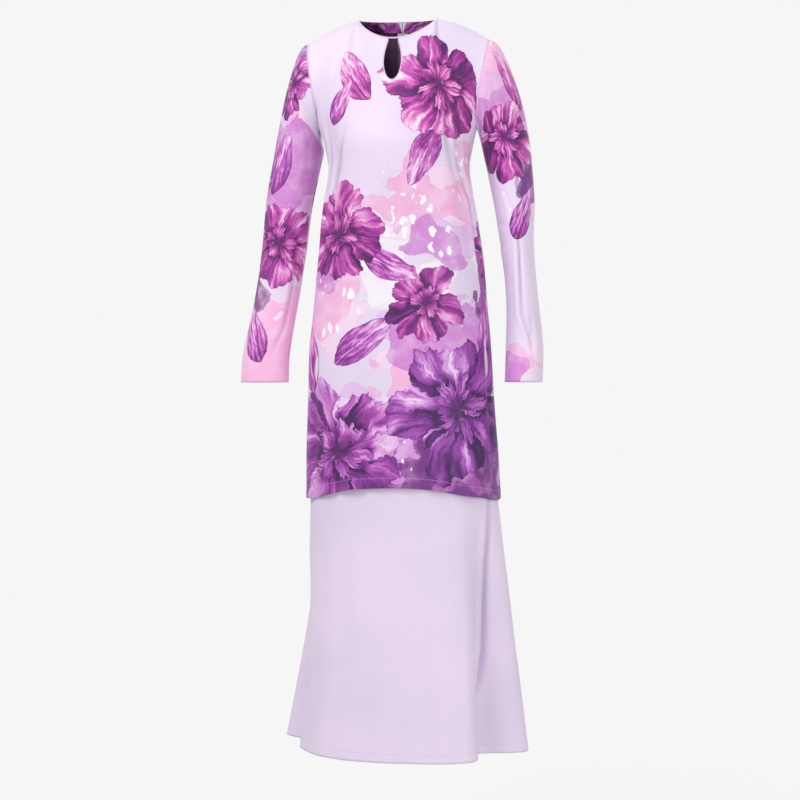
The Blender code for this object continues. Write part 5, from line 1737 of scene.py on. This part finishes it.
def make_stitches(front, backs, sleeves, skirts, tunic_thread, skirt_thread):
    """Rows of stitches round each hem and down both sides of the zip, one piece for each part."""
    parts = [stitch_row(*across_line(cloth, TUNIC_HEM_DEPTH)) for cloth in (front, *backs)]
    parts += [stitch_row(*across_line(cloth, SLEEVE_HEM_DEPTH)) for cloth in sleeves]
    for cloth, column in zip(backs, (-1, 0)):
        points, ways = upright_line(cloth, column, ZIP_STITCH_REACH)
        beside_zip = points[:, 2] > ZIP_BOTTOM
        parts.append(stitch_row(points[beside_zip], ways[beside_zip]))
    show("tunic_stitches", joined_mesh("tunic_stitches", parts), (tunic_thread,))
    parts = [stitch_row(*across_line(cloth, SKIRT_HEM_DEPTH)) for cloth in skirts]
    show("skirt_stitches", joined_mesh("skirt_stitches", parts), (skirt_thread,))


def make_zip_teeth(back, material):
    """The zip's coil: closed below the slider and parted in two rows above it."""
    column = int(np.argmin(np.abs(back.share)))
    line = back.points[:, column]
    ways = grid_normals(back.points)[:, column]
    beside_zip = line[:, 2] > ZIP_BOTTOM
    line = line[beside_zip][::-1]
    ways = ways[beside_zip][::-1]
    places, lengths = places_along(line, TOOTH_PITCH, 0.0)
    places = places[:, 0]
    out = unit(along_line(places, lengths, ways))
    middle = along_line(places, lengths, line) - out * TOOTH_SUNK
    parts = []
    for side in (-1.0, 1.0):
        parted = TOOTH_PARTED * (places < SLIDER_REACH[0])
        chosen = (places < SLIDER_REACH[0]) | (places > SLIDER_REACH[1])
        centre = middle[chosen] + joined(side * (0.5 * TOOTH_HALF + parted), 0.0, 0.0)[chosen]
        centre = centre + joined(0.0, 0.0, side * TOOTH_PITCH / 4)
        reach = joined(np.array((-TOOTH_HALF, 0.0, TOOTH_HALF)), 0.0, 0.0)
        paths = centre[:, None] + reach[None]
        normals = np.broadcast_to(out[chosen][:, None], paths.shape)
        parts.append(tube_batch(paths, normals, TOOTH, sides=6))
    show("zip_teeth", joined_mesh("zip_teeth", parts), (material,))


# A pattern piece as it was cut, with its seam and hem allowances: width, length and area
Cut = namedtuple("Cut", "width length area held rests_on")


CAMERA_TURN = radians(7.0)
CAMERA_DISTANCE = 3.0
CAMERA_HEIGHT = -0.7165
SENSOR_WIDTH = 36.0
LENS = 71.66
SHIFT_ACROSS = 1.0 / 800.0
FLOOR_HEIGHT = -1.62
FLOOR_HALF = 2.0
WORLD_LIGHT = 0.63
LAMP_AIM = Vector((0.0, 0.0, -0.65))
LAMPS = (
    ("key", (-1.6, -2.1, 2.1), 1.4, 68.0),
    ("fill", (2.2, -2.4, -0.2), 1.8, 27.0),
    ("back", (0.4, 2.8, 0.8), 1.8, 24.0),
)


def make_camera():
    camera = bpy.data.cameras.new("camera")
    camera.sensor_width = SENSOR_WIDTH
    camera.lens = LENS
    camera.shift_x = SHIFT_ACROSS
    across = CAMERA_DISTANCE * sin(CAMERA_TURN)
    ahead = -CAMERA_DISTANCE * cos(CAMERA_TURN)
    place = (across, ahead, CAMERA_HEIGHT)
    bpy.context.scene.camera = placed("camera", camera, place, (pi / 2, 0.0, CAMERA_TURN))


def make_floor():
    mesh = bpy.data.meshes.new("studio_floor")
    ways = ((-1, -1), (1, -1), (1, 1), (-1, 1))
    mesh.from_pydata([(FLOOR_HALF * x, FLOOR_HALF * y, 0.0) for x, y in ways], [], [(0, 1, 2, 3)])
    mesh.materials.append(floor_material())
    placed("studio_floor", mesh, (0.0, 0.0, FLOOR_HEIGHT))


def make_light():
    """The light all round, with its own pale backdrop, and three soft lamps."""
    world = bpy.data.worlds.new("studio")
    world.use_nodes = True
    bpy.context.scene.world = world
    paint = Paint(world.node_tree)
    seen = paint.node("ShaderNodeLightPath").outputs["Is Camera Ray"]
    light = world.node_tree.nodes["Background"]
    lit = paint.fill(light, {"Color": (1.0, 1.0, 1.0, 1.0), "Strength": WORLD_LIGHT})[0]
    backdrop = paint.fill(paint.node("ShaderNodeBackground"), {"Color": linear(246, 246, 246)})[0]
    paint.mix_shaders(seen, lit, backdrop, "World Output")
    for name, place, size, power in LAMPS:
        lamp = bpy.data.lights.new(name, "AREA")
        lamp.size = size
        lamp.energy = power
        placed(name, lamp, place, (LAMP_AIM - Vector(place)).to_track_quat("-Z", "Y").to_euler())


def make_studio():
    make_camera()
    make_floor()
    make_light()
    bpy.context.scene.view_settings.view_transform = "Standard"


def dress():
    """Every piece of the garment, with its materials."""
    tree = print_group()
    face = printed_crepe(tree)
    reverse = printed_reverse(tree)
    lilac = plain_crepe("plain_crepe_face", LILAC, LILAC_COOL)
    printed = (face, reverse)
    plain = (lilac, lilac)
    front = make_tunic_front(printed)
    backs = [make_tunic_back(side, printed) for side in (1.0, -1.0)]
    sleeves = [
        make_sleeve("sleeve_left", LEFT_SLEEVE, 1.0, printed),
        make_sleeve("sleeve_right", RIGHT_SLEEVE, -1.0, printed),
    ]
    skirts = [make_skirt("skirt_front", -90.0, plain), make_skirt("skirt_back", 90.0, plain)]
    make_waistband(plain)
    for side, back in zip((1.0, -1.0), backs):
        make_facing(side, back, (reverse, face))
    strip = binding_cloth()
    tape = tape_cloth()
    make_armhole_seams(strip)
    make_bindings(front, strip)
    make_stitches(front, backs, sleeves, skirts, thread("tunic_thread", linear(240, 204, 234)),
                  thread("skirt_thread", linear(216, 202, 228)))
    make_zip_teeth(backs[0], thread("zip_coil", linear(206, 200, 212)))
    metal = zip_metal()
    shown_solids = {"zip_slider": metal, "zip_pull": metal, "zip_tape_left": tape, "zip_tape_right": tape}
    for node, material in shown_solids.items():
        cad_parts[node].data.materials.clear()
        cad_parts[node].data.materials.append(material)


make_studio()
dress()
